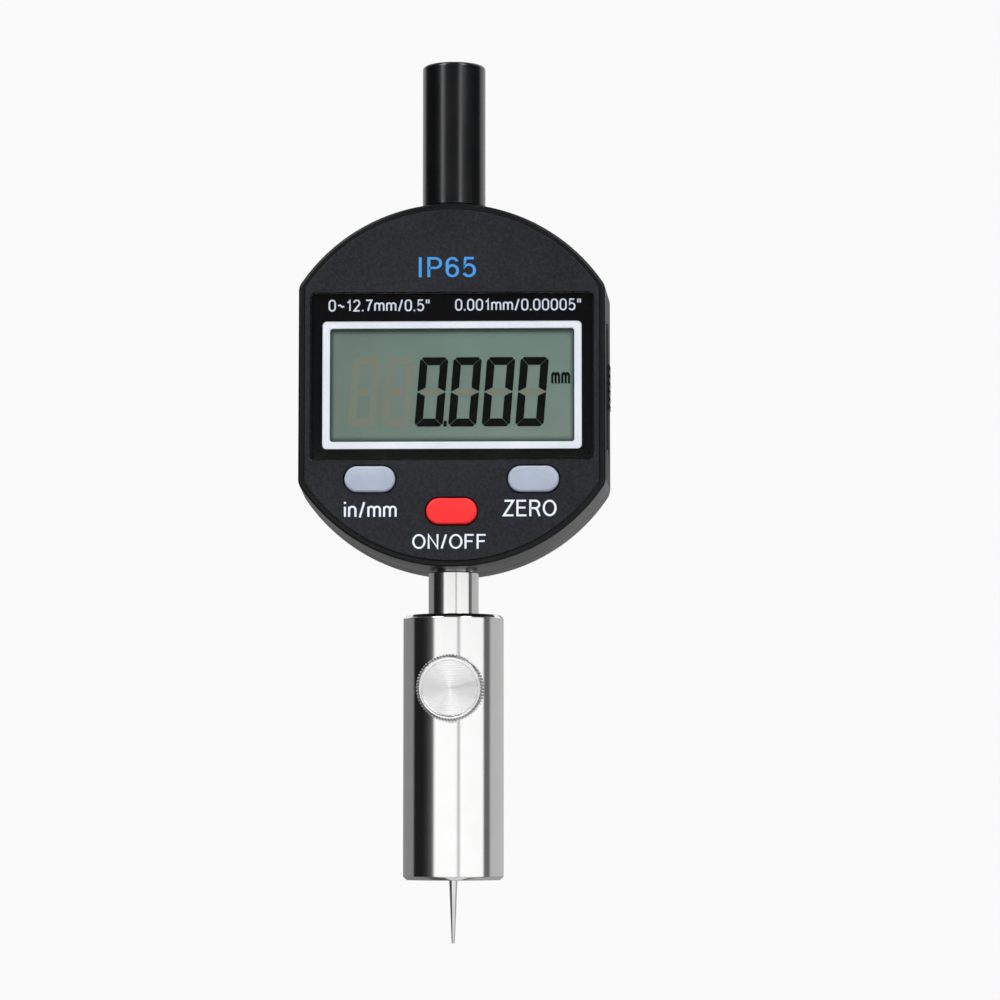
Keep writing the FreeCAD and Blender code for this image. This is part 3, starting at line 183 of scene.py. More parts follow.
finishLooks = {
    # black ABS from a spark-eroded mould: a soft satin with a fine sandy grain
    "mouldedAbs": {"colour": "#090A0C", "other": "#0E0F11", "patch": 9, "rough": (0.27, 0.34),
        "grain": 0.45, "depth": 0.004, "speck": 0.4, "sockets": {"Specular IOR Level": 0.2}},
    # textured polycarbonate overlay: a shade lighter than the case, with a coarser leather-like sparkle
    "texturedOverlay": {"colour": "#0A0C11", "other": "#1B1F26", "patch": 14, "rough": (0.38, 0.46),
        "grain": 0.5, "depth": 0.06, "speck": 0.7, "sockets": {"Specular IOR Level": 0.27}},
    # black ink printed on the back of the window: even and nearly without light
    "printedMask": {"colour": "#030304", "other": "#050506", "patch": 12, "rough": (0.5, 0.6),
        "grain": 0.3, "depth": 0.001, "sockets": {"Specular IOR Level": 0.05}},
    # white ABS frame: clean, a little glossy, faintly uneven from moulding
    "whiteAbs": {"colour": "#E4E9F0", "other": "#EEF2F7", "patch": 7, "rough": (0.3, 0.38), "grain": 0.3,
        "depth": 0.003, "sockets": {"Specular IOR Level": 0.4}},
    # nitrile rubber: matt black with a dusty tooth
    "nitrileRubber": {"colour": "#101011", "other": "#171718", "patch": 2, "rough": (0.7, 0.82),
        "grain": 0.12, "depth": 0.01},
    # green solder mask over copper: glossy, with the tracks just showing as patches
    "solderMask": {"colour": "#0B4A26", "other": "#15663A", "patch": 1.6, "rough": (0.25, 0.35),
        "grain": 0.3, "depth": 0.015},
    # epoxy chip package: dull dark grey
    "epoxyPackage": {"colour": "#1B1B1D", "other": "#242426", "patch": 2, "rough": (0.55, 0.65),
        "grain": 0.08, "depth": 0.006},
    # tinned copper foil: warm metal, lightly rubbed
    "tinnedCopper": {"colour": "#B87A4B", "other": "#C98F62", "patch": 1.2, "rough": (0.25, 0.4),
        "grain": 0.1, "depth": 0.003, "sockets": {"Metallic": 1.0}},
    # etched glass-fibre laminate: tan with a faint weave
    "fibreLaminate": {"colour": "#8F8254", "other": "#A3966A", "patch": 1.0, "rough": (0.5, 0.6),
        "grain": 0.15, "depth": 0.005},
    # centreless-ground stainless steel: bright, with fine lines round the bar that soften what it mirrors
    "groundStainless": {"colour": "#DADAD9", "other": "#DEDEDE", "patch": 4, "rough": (0.1, 0.12),
        "grain": 0.35, "depth": 0.0002, "linePitch": 0.22, "lineKind": upright, "lineDepth": 0.0003,
        "sockets": {"Metallic": 1.0}},
    # faced and knurled stainless steel: rings from the tool that throw a bright fan from the centre
    "facedStainless": {"colour": "#E4E4E4", "other": "#F0F0F0", "patch": 3, "rough": (0.22, 0.27),
        "grain": 0.2, "depth": 0.0006, "linePitch": 0.26, "lineKind": concentric, "lineDepth": 0.0012,
        # painted shade: strengths and colour of the painted reflection streaks and the painted groove shade
        "knurls": 64, "streakShade": 0.13, "grooveShade": 0.6, "paintedShadeColour": "#5C5B5E",
        "sockets": {"Metallic": 1.0, "Anisotropic": 0.8}},
    # zinc-plated steel: cool grey with a passivated bloom
    "zincPlate": {"colour": "#9FA3A8", "other": "#B7BABD", "patch": 1.5, "rough": (0.3, 0.42),
        "grain": 0.15, "depth": 0.003, "sockets": {"Metallic": 1.0}},
    # turned brass: warm yellow with faint rings
    "turnedBrass": {"colour": "#C29A4E", "other": "#D2AE66", "patch": 2, "rough": (0.22, 0.32),
        "grain": 0.2, "depth": 0.001, "linePitch": 0.2, "lineKind": concentric, "lineDepth": 0.002,
        "sockets": {"Metallic": 1.0}},
    # natural acetal: milky white, waxy
    "naturalAcetal": {"colour": "#D8D6CC", "other": "#E2E0D8", "patch": 3, "rough": (0.4, 0.5),
        "grain": 0.3, "depth": 0.003,
        "sockets": {"Subsurface Weight": 0.1, "Subsurface Radius": (0.001, 0.001, 0.001)}},
    # black anodised aluminium, turned before anodising: deep satin with a soft long highlight
    "anodisedCap": {"colour": "#040507", "other": "#07080A", "patch": 6, "rough": (0.2, 0.24),
        "grain": 0.35, "depth": 0.002, "linePitch": 0.24, "lineKind": upright, "lineDepth": 0.0012,
        "sockets": {"Specular IOR Level": 0.5}},
    # silicone-soft moulded keys: satin, even colour with a faint mottling
    "greyKey": {"colour": "#98A1B1", "other": "#A1AABA", "patch": 2.5, "rough": (0.42, 0.5),
        "grain": 0.25, "depth": 0.004, "sockets": {"Specular IOR Level": 0.4}},
    "redKey": {"colour": "#EC2427", "other": "#F52C2E", "patch": 2.5, "rough": (0.42, 0.5), "grain": 0.25,
        "depth": 0.004, "sockets": {"Specular IOR Level": 0.3}},
    # dark acetal plungers
    "darkAcetal": {"colour": "#222325", "other": "#2A2B2D", "patch": 2, "rough": (0.4, 0.5), "grain": 0.2,
        "depth": 0.003},
    # nickel-plated cell can: drawn steel with a soft brushed shine
    "nickelCan": {"colour": "#BFBEBA", "other": "#CFCECA", "patch": 3, "rough": (0.2, 0.3), "grain": 0.2,
        "depth": 0.001, "linePitch": 0.3, "lineKind": concentric, "lineDepth": 0.001,
        "sockets": {"Metallic": 1.0}},
    # screen-printed inks, very slightly raised
    "whiteInk": {"colour": "#D3DAEA", "other": "#DCE2EF", "patch": 1.5, "rough": (0.45, 0.55),
        "grain": 0.12, "depth": 0.003},
    "blueInk": {"colour": "#2C7FC4", "other": "#368BD2", "patch": 1.5, "rough": (0.45, 0.55),
        "grain": 0.12, "depth": 0.003},
    # liquid-crystal segments: black when driven, a brownish stain when not
    "drivenSegment": {"colour": "#030505", "other": "#060808", "patch": 2, "rough": (0.5, 0.6),
        "grain": 0.2, "depth": 0.001, "sockets": {"Specular IOR Level": 0.05}},
    "idleSegment": {"colour": "#757F6F", "other": "#787B6A", "patch": 2, "rough": (0.5, 0.6),
        "grain": 0.2, "depth": 0.001, "sockets": {"Specular IOR Level": 0.2}},
}

# the record's material slots and the finish that each one has
slotFinish = {
    "shell_black": "mouldedAbs", "drawer_black": "mouldedAbs", "plate_film": "texturedOverlay",
    "mask_print": "printedMask", "frame_white": "whiteAbs", "rubber_black": "nitrileRubber",
    "board_green": "solderMask", "chip_black": "epoxyPackage", "copper": "tinnedCopper",
    "board_scale": "fibreLaminate", "polished_steel": "groundStainless", "turned_steel": "facedStainless",
    "zinc_steel": "zincPlate", "brass": "turnedBrass", "inner_plastic": "naturalAcetal",
    "cap_anodised": "anodisedCap", "key_grey": "greyKey", "key_red": "redKey", "plunger_dark": "darkAcetal",
    "cell_nickel": "nickelCan", "clear_acrylic": "clearAcrylic", "lcd_glass": "displayPolariser",
}
finishes = {name: makeFinish(name, look) for name, look in finishLooks.items()}


def makeAcrylic():
    # clear cast acrylic: seen through straight on, with a gloss that grows at the edges
    material, tree = newMaterial("clearAcrylic")
    place = addNode(tree, "TexCoord", out="Object")
    haze = addNode(tree, "TexNoise", inputs={"Vector": place, "Scale": 1 / (6 * mm)})
    rough = addNode(tree, "MapRange", inputs={"Value": haze, "To Min": 0.03, "To Max": 0.07})
    gloss = addNode(tree, "BsdfGlossy", inputs={"Roughness": rough})
    clear = addNode(tree, "BsdfTransparent", inputs={"Color": (0.97, 0.975, 0.98, 1)})
    # mirror share from the slant of the surface, the same for light going in and coming out
    slant = addNode(tree, "LayerWeight", inputs={"Blend": 0.5}, out="Facing")
    steep = addNode(tree, "Math", "POWER", {0: slant, 1: 5.0})
    share = addNode(tree, "MapRange", inputs={"Value": steep, "To Min": 0.04})
    surface = addNode(tree, "MixShader", inputs={0: share, 1: clear, 2: gloss})
    addNode(tree, "OutputMaterial", inputs={"Surface": surface})
    return material


polariser = {"top": "#6B8276", "low": "#74857B", "left": "#6A7A6F", "shadowDepth": 0.95, "edgeShade": 0.22}


def makePolariser():
    # reflective polariser behind the display glass: grey-green, shaded by the frame round its edge
    material, tree = newMaterial("displayPolariser")
    low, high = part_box("display_frame")
    half = Vector(((high.x - low.x) / 2 - 2.0 * mm, (high.z - low.z) / 2 - 2.15 * mm))
    place = addNode(tree, "TexCoord", out="Object")
    axes = addNode(tree, "SeparateXYZ", inputs={0: place}).node.outputs
    depths = []
    for axis, centre, reach in ((0, 0.0, half.x), (2, (low.z + high.z) / 2, half.y)):
        offset = addNode(tree, "Math", "SUBTRACT", {0: axes[axis], 1: centre})
        offset = addNode(tree, "Math", "ABSOLUTE", {0: offset})
        depths.append(addNode(tree, "Math", "SUBTRACT", {0: reach, 1: offset}))
    nearest = addNode(tree, "Math", "SMOOTH_MIN", {0: depths[0], 1: depths[1], 2: 0.6 * mm})
    shade = addNode(tree, "MapRange", {"interpolation_type": "SMOOTHSTEP"}, {
        "Value": nearest, "From Min": -0.25 * mm, "From Max": polariser["shadowDepth"] * mm,
        "To Min": polariser["edgeShade"], "To Max": 1.0})
    across = addNode(tree, "MapRange", inputs={
        "Value": axes[0], "From Min": -half.x, "From Max": half.x * 0.2})
    upDown = addNode(tree, "MapRange", inputs={
        "Value": axes[2], "From Min": (low.z + high.z) / 2 - half.y, "From Max": high.z})
    clouds = addNode(tree, "TexNoise", inputs={"Vector": place, "Scale": 1 / (7 * mm), "Detail": 4.0})
    body = addNode(tree, "Mix", {"data_type": "RGBA"}, {
        0: upDown, 6: hexColour(polariser["low"]), 7: hexColour(polariser["top"])}, out=2)
    body = addNode(tree, "Mix", {"data_type": "RGBA"}, {
        0: across, 6: hexColour(polariser["left"]), 7: body}, out=2)
    tint = addNode(tree, "MapRange", inputs={
        "Value": clouds, "From Min": 0.3, "From Max": 0.7, "To Min": 0.94, "To Max": 1.05})
    light = addNode(tree, "Math", "MULTIPLY", {0: tint, 1: shade})
    colour = addNode(tree, "VectorMath", "SCALE", {0: body, "Scale": light})
    fine = addNode(tree, "TexNoise", inputs={"Vector": place, "Scale": 1 / (0.3 * mm)})
    bump = addNode(tree, "Bump", inputs={"Height": fine, "Distance": 0.001 * mm})
    shader = addNode(tree, "BsdfPrincipled", inputs={
        "Base Color": colour, "Roughness": 0.5, "Normal": bump, "Specular IOR Level": 0.2})
    addNode(tree, "OutputMaterial", inputs={"Surface": shader})
    return material


finishes["clearAcrylic"] = makeAcrylic()
finishes["displayPolariser"] = makePolariser()
for subpart in frame["record"]["subparts"]:  # inner pieces keep their CAD meshes and get the real finish
    mesh = frame["nodes"][subpart["node"]].data
    mesh.materials.clear()
    mesh.materials.append(finishes[slotFinish[subpart["material_slot"]]])
    mesh.set_sharp_from_angle(angle=radians(35))
print("materials made:", len(finishes))


# meshes

def finishPiece(name, mesh, slotName, stands, body="instrument", finish=None):
    # one place where every new piece gets its smooth shading, its material (its slot's finish unless
    # another is named), its body, and the CAD node that it stands for hidden
    mesh.name = name
    mesh.shade_smooth()
    mesh.set_sharp_from_angle(angle=radians(38))
    mesh.materials.clear()
    mesh.materials.append(finishes[finish or slotFinish[slotName]])
    piece = addObject(name, mesh)
    weighted = piece.modifiers.new("evenFaces", "WEIGHTED_NORMAL")
    weighted.keep_sharp = True
    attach(piece, body)
    if stands:
        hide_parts(stands)
    return piece


def meshOf(thing):
    # the mesh that an object's modifiers or curve give, after which the object goes
    mesh = bpy.data.meshes.new_from_object(thing.evaluated_get(bpy.context.evaluated_depsgraph_get()))
    bpy.data.objects.remove(thing)
    return mesh


def arc(centre, radius, start, end, steps):
    turns = [start + (end - start) * n / steps for n in range(steps + 1)]
    return [(centre[0] + radius * cos(t), centre[1] + radius * sin(t)) for t in turns]


def flatsOutline(radius, half, corner, arcSteps=72, cornerSteps=8, flatSteps=3):
    # a circle cut by two upright flats with rounded corners, anticlockwise from the lower right
    rise = sqrt((radius - corner) ** 2 - (half - corner) ** 2)
    lean = atan2(rise, half - corner)
    points = []
    for side in (0, pi):
        sign = 1 if side == 0 else -1
        flat = [(sign * half, sign * (rise * (2 * n / flatSteps - 1))) for n in range(1, flatSteps)]
        points += arc((sign * (half - corner), -sign * rise), corner, side - lean, side, cornerSteps)
        points += flat
        points += arc((sign * (half - corner), sign * rise), corner, side, side + lean, cornerSteps)
        points += arc((0, 0), radius, side + lean, side + pi - lean, arcSteps)[1:-1]
    return points


def obroundOutline(length, width, steps=20):
    reach = (length - width) / 2
    return (arc((reach, 0), width / 2, -pi / 2, pi / 2, steps)
            + arc((-reach, 0), width / 2, pi / 2, 1.5 * pi, steps))


def slabOutline(width, height, corner, steps=6):
    points = []
    for n, (sx, sz) in enumerate(((1, 1), (-1, 1), (-1, -1), (1, -1))):
        middle = (sx * (width / 2 - corner), sz * (height / 2 - corner))
        points += arc(middle, corner, n * pi / 2, (n + 1) * pi / 2, steps)
    return points


def moved(outline, x, z):
    return [(px + x, pz + z) for px, pz in outline]


def softCorners(path, steps=4):
    # a path of (across, along, round) with each corner turned into an arc of its own radius
    points = []
    for n, (a, b, radius) in enumerate(path):
        if not radius:
            points.append((a, b))
            continue
        here = Vector((a, b))
        before = (Vector(path[n - 1][:2]) - here).normalized()
        after = (Vector(path[(n + 1) % len(path)][:2]) - here).normalized()
        half = before.angle(after) / 2
        centre = here + (before + after).normalized() * (radius / sin(half))
        start, end = here + before * (radius / tan(half)), here + after * (radius / tan(half))
        first = (start - centre).to_2d()
        turn = first.angle_signed((end - centre).to_2d())
        for step in range(steps + 1):
            points.append(tuple(centre + Matrix.Rotation(-turn * step / steps, 2) @ first))
    return points


def meshFrom(shape, name, mesh=None):
    # closes a bmesh into a mesh with its faces turned outward
    bmesh.ops.recalc_face_normals(shape, faces=shape.faces)
    mesh = mesh or bpy.data.meshes.new(name)
    shape.to_mesh(mesh)
    shape.free()
    return mesh


def skinRings(rings, capStart=False, capEnd=False, loop=False):
    # rings of equal count joined by quads; a ring of one point is a pole
    shape = bmesh.new()
    made = [[shape.verts.new(point) for point in ring] for ring in rings]
    pairs = list(zip(made, made[1:])) + ([(made[-1], made[0])] if loop else [])
    for one, other in pairs:
        count = max(len(one), len(other))
        for n in range(count):
            corners = [one[n % len(one)], one[(n + 1) % len(one)],
                       other[(n + 1) % len(other)], other[n % len(other)]]
            shape.faces.new(list(dict.fromkeys(corners)))
    if capStart:
        shape.faces.new(made[0])
    if capEnd:
        shape.faces.new(made[-1])
    return meshFrom(shape, "skin")


def stackOutlines(levels, **ends):
    # levels of (y, outline) in millimetres about the case centre
    rings = [[(x * mm, y * mm, (centreZ + z) * mm) for x, z in outline] for y, outline in levels]
    return skinRings(rings, **ends)


def turnProfile(path, count=128, closed=True):
    # a profile of (radius, height) in millimetres turned about the Z axis
    rings = []
    for radius, height in path:
        if radius < 1e-6:
            rings.append([(0, 0, height * mm)])
            continue
        turns = [tau * n / count for n in range(count)]
        rings.append([(radius * mm * cos(t), radius * mm * sin(t), height * mm) for t in turns])
    return skinRings(rings, loop=closed)


def cutPlate(outlines, thickness, edge, into, edgeSteps=3):
    # a plate in the drawing plane from an outer outline and its holes, with every edge rounded
    curve = bpy.data.curves.new("plate", "CURVE")
    curve.dimensions = "2D"
    curve.fill_mode = "BOTH"
    curve.extrude = (thickness / 2 - edge) * mm
    curve.bevel_depth = edge * mm
    curve.bevel_resolution = edgeSteps - 1
    curve.offset = -edge * mm
    for outline in outlines:
        spline = curve.splines.new("POLY")
        spline.points.add(len(outline) - 1)
        spline.use_cyclic_u = True
        for point, (x, z) in zip(spline.points, outline):
            point.co = (x * mm, z * mm, 0, 1)
    mesh = meshOf(addObject("plate", curve))
    shape = bmesh.new()
    shape.from_mesh(mesh)
    bmesh.ops.remove_doubles(shape, verts=shape.verts, dist=0.0005 * mm)
    meshFrom(shape, "plate", mesh).transform(into)
    return mesh


def blockMesh(low, high, edge=0.0, steps=3):
    # a block between two corners, its edges rounded
    low, high = Vector(low) * mm, Vector(high) * mm
    shape = bmesh.new()
    bmesh.ops.create_cube(shape, size=1.0)
    fit = Matrix.Translation((low + high) / 2) @ Matrix.Diagonal((*(high - low), 1))
    bmesh.ops.transform(shape, verts=shape.verts, matrix=fit)
    if edge:
        bmesh.ops.bevel(shape, geom=list(shape.edges), offset=edge * mm, segments=steps, profile=0.5,
                        affect="EDGES")
    return meshFrom(shape, "block")


def carve(mesh, *cutters):
    # take the cutters' solids out of a mesh
    body = addObject("body", mesh)
    tools = []
    for cutter in cutters:
        tool = addObject("tool", cutter)
        cut = body.modifiers.new("cut", "BOOLEAN")
        cut.object = tool
        cut.solver = "EXACT"
        tools.append(tool)
    carved = meshOf(body)
    for tool in tools:
        bpy.data.objects.remove(tool)
    return carved


def roundRod(radius, low, high, into):
    mesh = turnProfile([(0, low), (radius, low), (radius, high), (0, high)], count=64, closed=False)
    mesh.transform(into)
    return mesh


def frontPlate(outlines, front, back, edge):
    # a plate between two planes across the case, drawn about the case centre
    into = atCentre @ Matrix.Translation((0, (front + back) / 2 * mm, 0)) @ onFace
    return cutPlate(outlines, back - front, edge, into)


# case shell

shell = {"corner": 2.2, "draft": 0.75 / 19.5, "rim": 0.95, "seat": 0.5, "wall": 2.0, "frontRound": 0.5,
         "innerRound": 0.12, "partingRound": 0.22, "backRound": 1.0, "backWall": 3.2, "backInset": 2.4,
         "faceWall": 1.5, "faceOverlap": 0.2, "faceEdge": 0.05, "recess": 0.85, "recessGap": 0.15,
         "recessEdge": 0.12, "slotDepth": 4.0}
frontRadius = (caseHigh.z - caseLow.z) / 2 - shell["draft"] * (partingY - rimY)
frontHalf = (caseHigh.x - caseLow.x) / 2 - shell["draft"] * (partingY - rimY)
lensLow, lensHigh = boxOf("display_lens")
drawerLow, drawerHigh = boxOf("battery_drawer")
keyNames = ("units", "zero", "power")
keyBoxes = {name: boxOf(f"{name}_button") for name in keyNames}
key = {"length": 8.05, "width": 4.1, "gap": 0.22, "edge": 0.4, "dome": 0.07, "flange": 0.5,
       "flangeDepth": 0.4, "flat": 0.06}


def drafted(y):
    return shell["draft"] * (y - rimY)


def caseOutline(grow):
    return flatsOutline(frontRadius + grow, frontHalf + grow, max(shell["corner"] + grow, 0.2))


def stackCase(path, steps, **ends):
    # the case outline carried along a path of (y, growth, round)
    return stackOutlines([(y, caseOutline(grow)) for y, grow in softCorners(path, steps)], **ends)


def lensOutline(grow, corner=0.8):
    size, lift = lensHigh - lensLow, (lensLow.z + lensHigh.z) / 2 - centreZ
    return moved(slabOutline(size.x + grow, size.z + grow, corner), 0, lift)


def keyOutline(name, grow):
    low, high = keyBoxes[name]
    outline = obroundOutline(key["length"] + 2 * grow, key["width"] + 2 * grow)
    return moved(outline, (low.x + high.x) / 2, (low.z + high.z) / 2 - centreZ)


def faceOpenings():
    return [lensOutline(0.06), *(keyOutline(name, key["gap"]) for name in keyNames)]


def makeCaseFront():
    inside, seatY = -shell["wall"], rimY + shell["seat"]
    mesh = stackCase([(partingY, inside, 0), (partingY, drafted(partingY), shell["partingRound"]),
                      (rimY, 0, shell["frontRound"]), (rimY, -shell["rim"], shell["innerRound"]),
                      (seatY, -shell["rim"], 0), (seatY, inside, 0)], 5, loop=True)
    tall = (drawerHigh.z - drawerLow.z) / 2 + shell["recessGap"]
    deep = (drawerHigh.y - drawerLow.y) / 2 + shell["recessGap"]
    outside = frontHalf + 2  # the cutters stand out past the flat
    recess = blockMesh((frontHalf - shell["recess"], -deep, centreZ - tall),
                       (outside, deep, centreZ + tall), shell["recessEdge"], 2)
    low, high = boxOf("drawer_seal")
    passage = blockMesh((frontHalf - shell["slotDepth"], low.y, low.z), (outside, high.y, high.z))
    finishPiece("case_front", carve(mesh, recess, passage), "shell_black", "front_housing")
    wall = frontPlate([caseOutline(inside + shell["faceOverlap"]), *faceOpenings()],
                      seatY, seatY + shell["faceWall"], shell["faceEdge"])
    finishPiece("case_wall", wall, "shell_black", "front_housing")


coverScrew = {"sink": 2.0, "sinkDepth": 1.3, "head": 1.9, "flat": 1.3, "crown": 0.585, "shank": 1.0,
              "length": 8.0, "crossLong": 1.15, "crossWide": 0.26, "crossDepth": 0.75, "crossEdge": 0.05}


def makeCaseBack():
    inside, s = -shell["backWall"], coverScrew
    mesh = stackCase([(backY - shell["wall"], inside, 0), (partingY, inside, 0),
                      (partingY, drafted(partingY), shell["partingRound"]),
                      (backY, drafted(backY), shell["backRound"]), (backY, -shell["backInset"], 0)],
                     6, capStart=True, capEnd=True)
    low, high = boxOf("cover_screws")
    reachX, reachZ = (high.x - low.x) / 2 - s["head"], (high.z - low.z) / 2 - s["head"]
    places = [atCentre @ Matrix.Translation((sx * reachX * mm, 0, sz * reachZ * mm))
              for sx in (-1, 1) for sz in (-1, 1)]
    sinks = [roundRod(s["sink"], -backY - 1, s["sinkDepth"] - backY, place @ alongY) for place in places]
    finishPiece("case_back", carve(mesh, *sinks), "shell_black", "back_cover")
    profile = [(0, 0, 0), (s["flat"], 0, 0), (s["head"], s["crown"], 0.3), (s["head"], s["sinkDepth"], 0),
               (s["shank"], s["sinkDepth"], 0), (s["shank"], s["length"], 0.2), (0, s["length"], 0)]
    profile = softCorners([(radius, depth - backY, soft) for radius, depth, soft in profile])
    crossY = backY - s["crossDepth"]
    for n, place in enumerate(places):
        head = turnProfile(profile, count=48, closed=False)
        head.transform(alongY)
        arms = [blockMesh((-wide, crossY, -tall), (wide, backY + 1, tall), s["crossEdge"], 1)
                for wide, tall in ((s["crossWide"], s["crossLong"]), (s["crossLong"], s["crossWide"]))]
        head = carve(head, *arms)
        head.transform(place @ Matrix.Rotation(0.5 + 0.9 * n, 4, "Y"))  # each stopped at its own angle
        finishPiece(f"cover_screw_{n + 1}", head, "zinc_steel", "cover_screws")


lug = {"width": 5.0, "radius": 5.99, "hole": 3.25, "reach": 6.2, "edge": 0.45, "sunk": 0.6}


def makeLug():
    middle, r = (backY + lug["reach"], 0), lug["radius"]
    root = backY - lug["sunk"]
    side = [(root, -r), *arc(middle, r, -pi / 2, pi / 2, 40), (root, r)]
    hole = arc(middle, lug["hole"], 0, tau, 48)[:-1]
    mesh = cutPlate([side, hole], lug["width"], lug["edge"], atCentre @ onSide, 4)
    finishPiece("back_lug", mesh, "shell_black", "back_cover")


overlay = {"gap": 0.03, "edge": 0.12}


def makeFacePlate():
    mesh = frontPlate([caseOutline(-shell["rim"] - overlay["gap"]), *faceOpenings()], overlayY,
                      rimY + shell["seat"], overlay["edge"])
    finishPiece("face_overlay", mesh, "plate_film", "face_plate")


makeCaseFront()
makeCaseBack()
makeLug()
makeFacePlate()
print("case made")


# window and display

display = {"lensEdge": 0.05, "openWidth": 38.85, "openHeight": 18.1, "frameCorner": 0.9, "openCorner": 0.45,
           "frameEdge": 0.08, "maskWidth": 41.2, "maskHeight": 20.4, "maskCorner": 0.7, "maskEdge": 0.02,
           "glassCorner": 0.3, "glassEdge": 0.06, "printRoom": 0.05}
glassLow, glassHigh = boxOf("lcd_front_glass")


def makeWindow():
    d = display
    lens = frontPlate([lensOutline(0)], lensLow.y, lensHigh.y - d["printRoom"], d["lensEdge"])
    finishPiece("window", lens, "clear_acrylic", "display_lens")
    low, high = boxOf("lens_mask")  # its print runs out to the window's own edge
    opening = slabOutline(d["maskWidth"], d["maskHeight"], d["maskCorner"])
    mask = frontPlate([lensOutline(-0.04, 0.78), opening], low.y, high.y, d["maskEdge"])
    finishPiece("window_print", mask, "mask_print", "lens_mask")
    low, high = boxOf("display_frame")
    rim = slabOutline(high.x - low.x, high.z - low.z, d["frameCorner"])
    opening = slabOutline(d["openWidth"], d["openHeight"], d["openCorner"])
    finishPiece("white_frame", frontPlate([rim, opening], low.y, high.y, d["frameEdge"]), "frame_white",
                "display_frame")
    pane = slabOutline(glassHigh.x - glassLow.x, glassHigh.z - glassLow.z, d["glassCorner"])
    finishPiece("display_glass", frontPlate([pane], glassLow.y, glassHigh.y, d["glassEdge"]), "lcd_glass",
                "lcd_front_glass")


digits = {"width": 4.48, "height": 11.06, "stroke": 1.25, "pitch": 5.33, "slant": 0.082, "left": -5.52,
          "middle": -1.05, "cut": 0.5, "gap": 0.045, "waist": 0.13, "film": 0.02, "shown": 4, "idle": 2,
          "pointWidth": 0.52, "pointHeight": 0.9}


def segmentShapes():
    # the seven bars of one figure about its centre, with mitred ends
    w, h = digits["width"] / 2, digits["height"] / 2
    t, c, g, waist = digits["stroke"], digits["cut"], digits["gap"], digits["waist"]
    top = [(c - w, h), (w - c, h), (w - c / 2 - g, h - c / 2), (w - t - g, h - t), (t - w + g, h - t),
           (c / 2 - w + g, h - c / 2)]
    side = [(w, h - c), (w, waist), (w - 0.2, waist), (w - t, waist + 0.55), (w - t, h - t - g),
            (w - c / 2, h - c / 2 - g)]
    bar = [(0.35 - w, 0), (t - w + 0.05, 0.56), (w - t - 0.05, 0.56), (w - 0.35, 0), (w - t - 0.05, -0.56),
           (t - w + 0.05, -0.56)]
    flips = ((1, 1), (-1, 1), (1, -1), (-1, -1))
    sides = [[(sx * x, sz * z) for x, z in side] for sx, sz in flips]
    return [top, [(x, -z) for x, z in top]] + sides, bar


def filmMesh(outlines, y):
    # thin flat prisms just in front of the glass
    shape = bmesh.new()
    for outline in outlines:
        rings = [[shape.verts.new((x * mm, depth * mm, (centreZ + z) * mm)) for x, z in outline]
                 for depth in (y, y + digits["film"])]
        for ring in rings:
            shape.faces.new(ring)
        for n in range(len(outline)):
            after = (n + 1) % len(outline)
            shape.faces.new((rings[0][n], rings[0][after], rings[1][after], rings[1][n]))
    return meshFrom(shape, "film")


def makeDigits():
    bars, middleBar = segmentShapes()
    driven, idle = [], []
    for n in range(-digits["idle"], digits["shown"]):
        left = digits["left"] + n * digits["pitch"] + digits["width"] / 2
        placed = [[(x + left + digits["slant"] * z, z + digits["middle"]) for x, z in bar]
                  for bar in (*bars, middleBar)]
        idle.append(placed.pop())
        (driven if n >= 0 else idle).extend(placed)
    x, z = digits["left"] + digits["width"] - 0.34, digits["middle"] - digits["height"] / 2
    wide, tall = digits["pointWidth"], digits["pointHeight"]
    driven.append([(x, z), (x + wide, z), (x + wide + 0.06, z + tall), (x + 0.07, z + tall)])
    film = glassLow.y - digits["film"]
    finishPiece("figures", filmMesh(driven, film - 0.03), "lcd_glass", None, finish="drivenSegment")
    finishPiece("idle_figures", filmMesh(idle, film - 0.005), "lcd_glass", None, finish="idleSegment")


def bend(x, z, reachX, reachZ, start, end, steps=14):
    # part of an ellipse, angles in degrees
    turns = [radians(start + (end - start) * n / steps) for n in range(steps + 1)]
    return [(x + reachX * cos(t), z + reachZ * sin(t)) for t in turns]


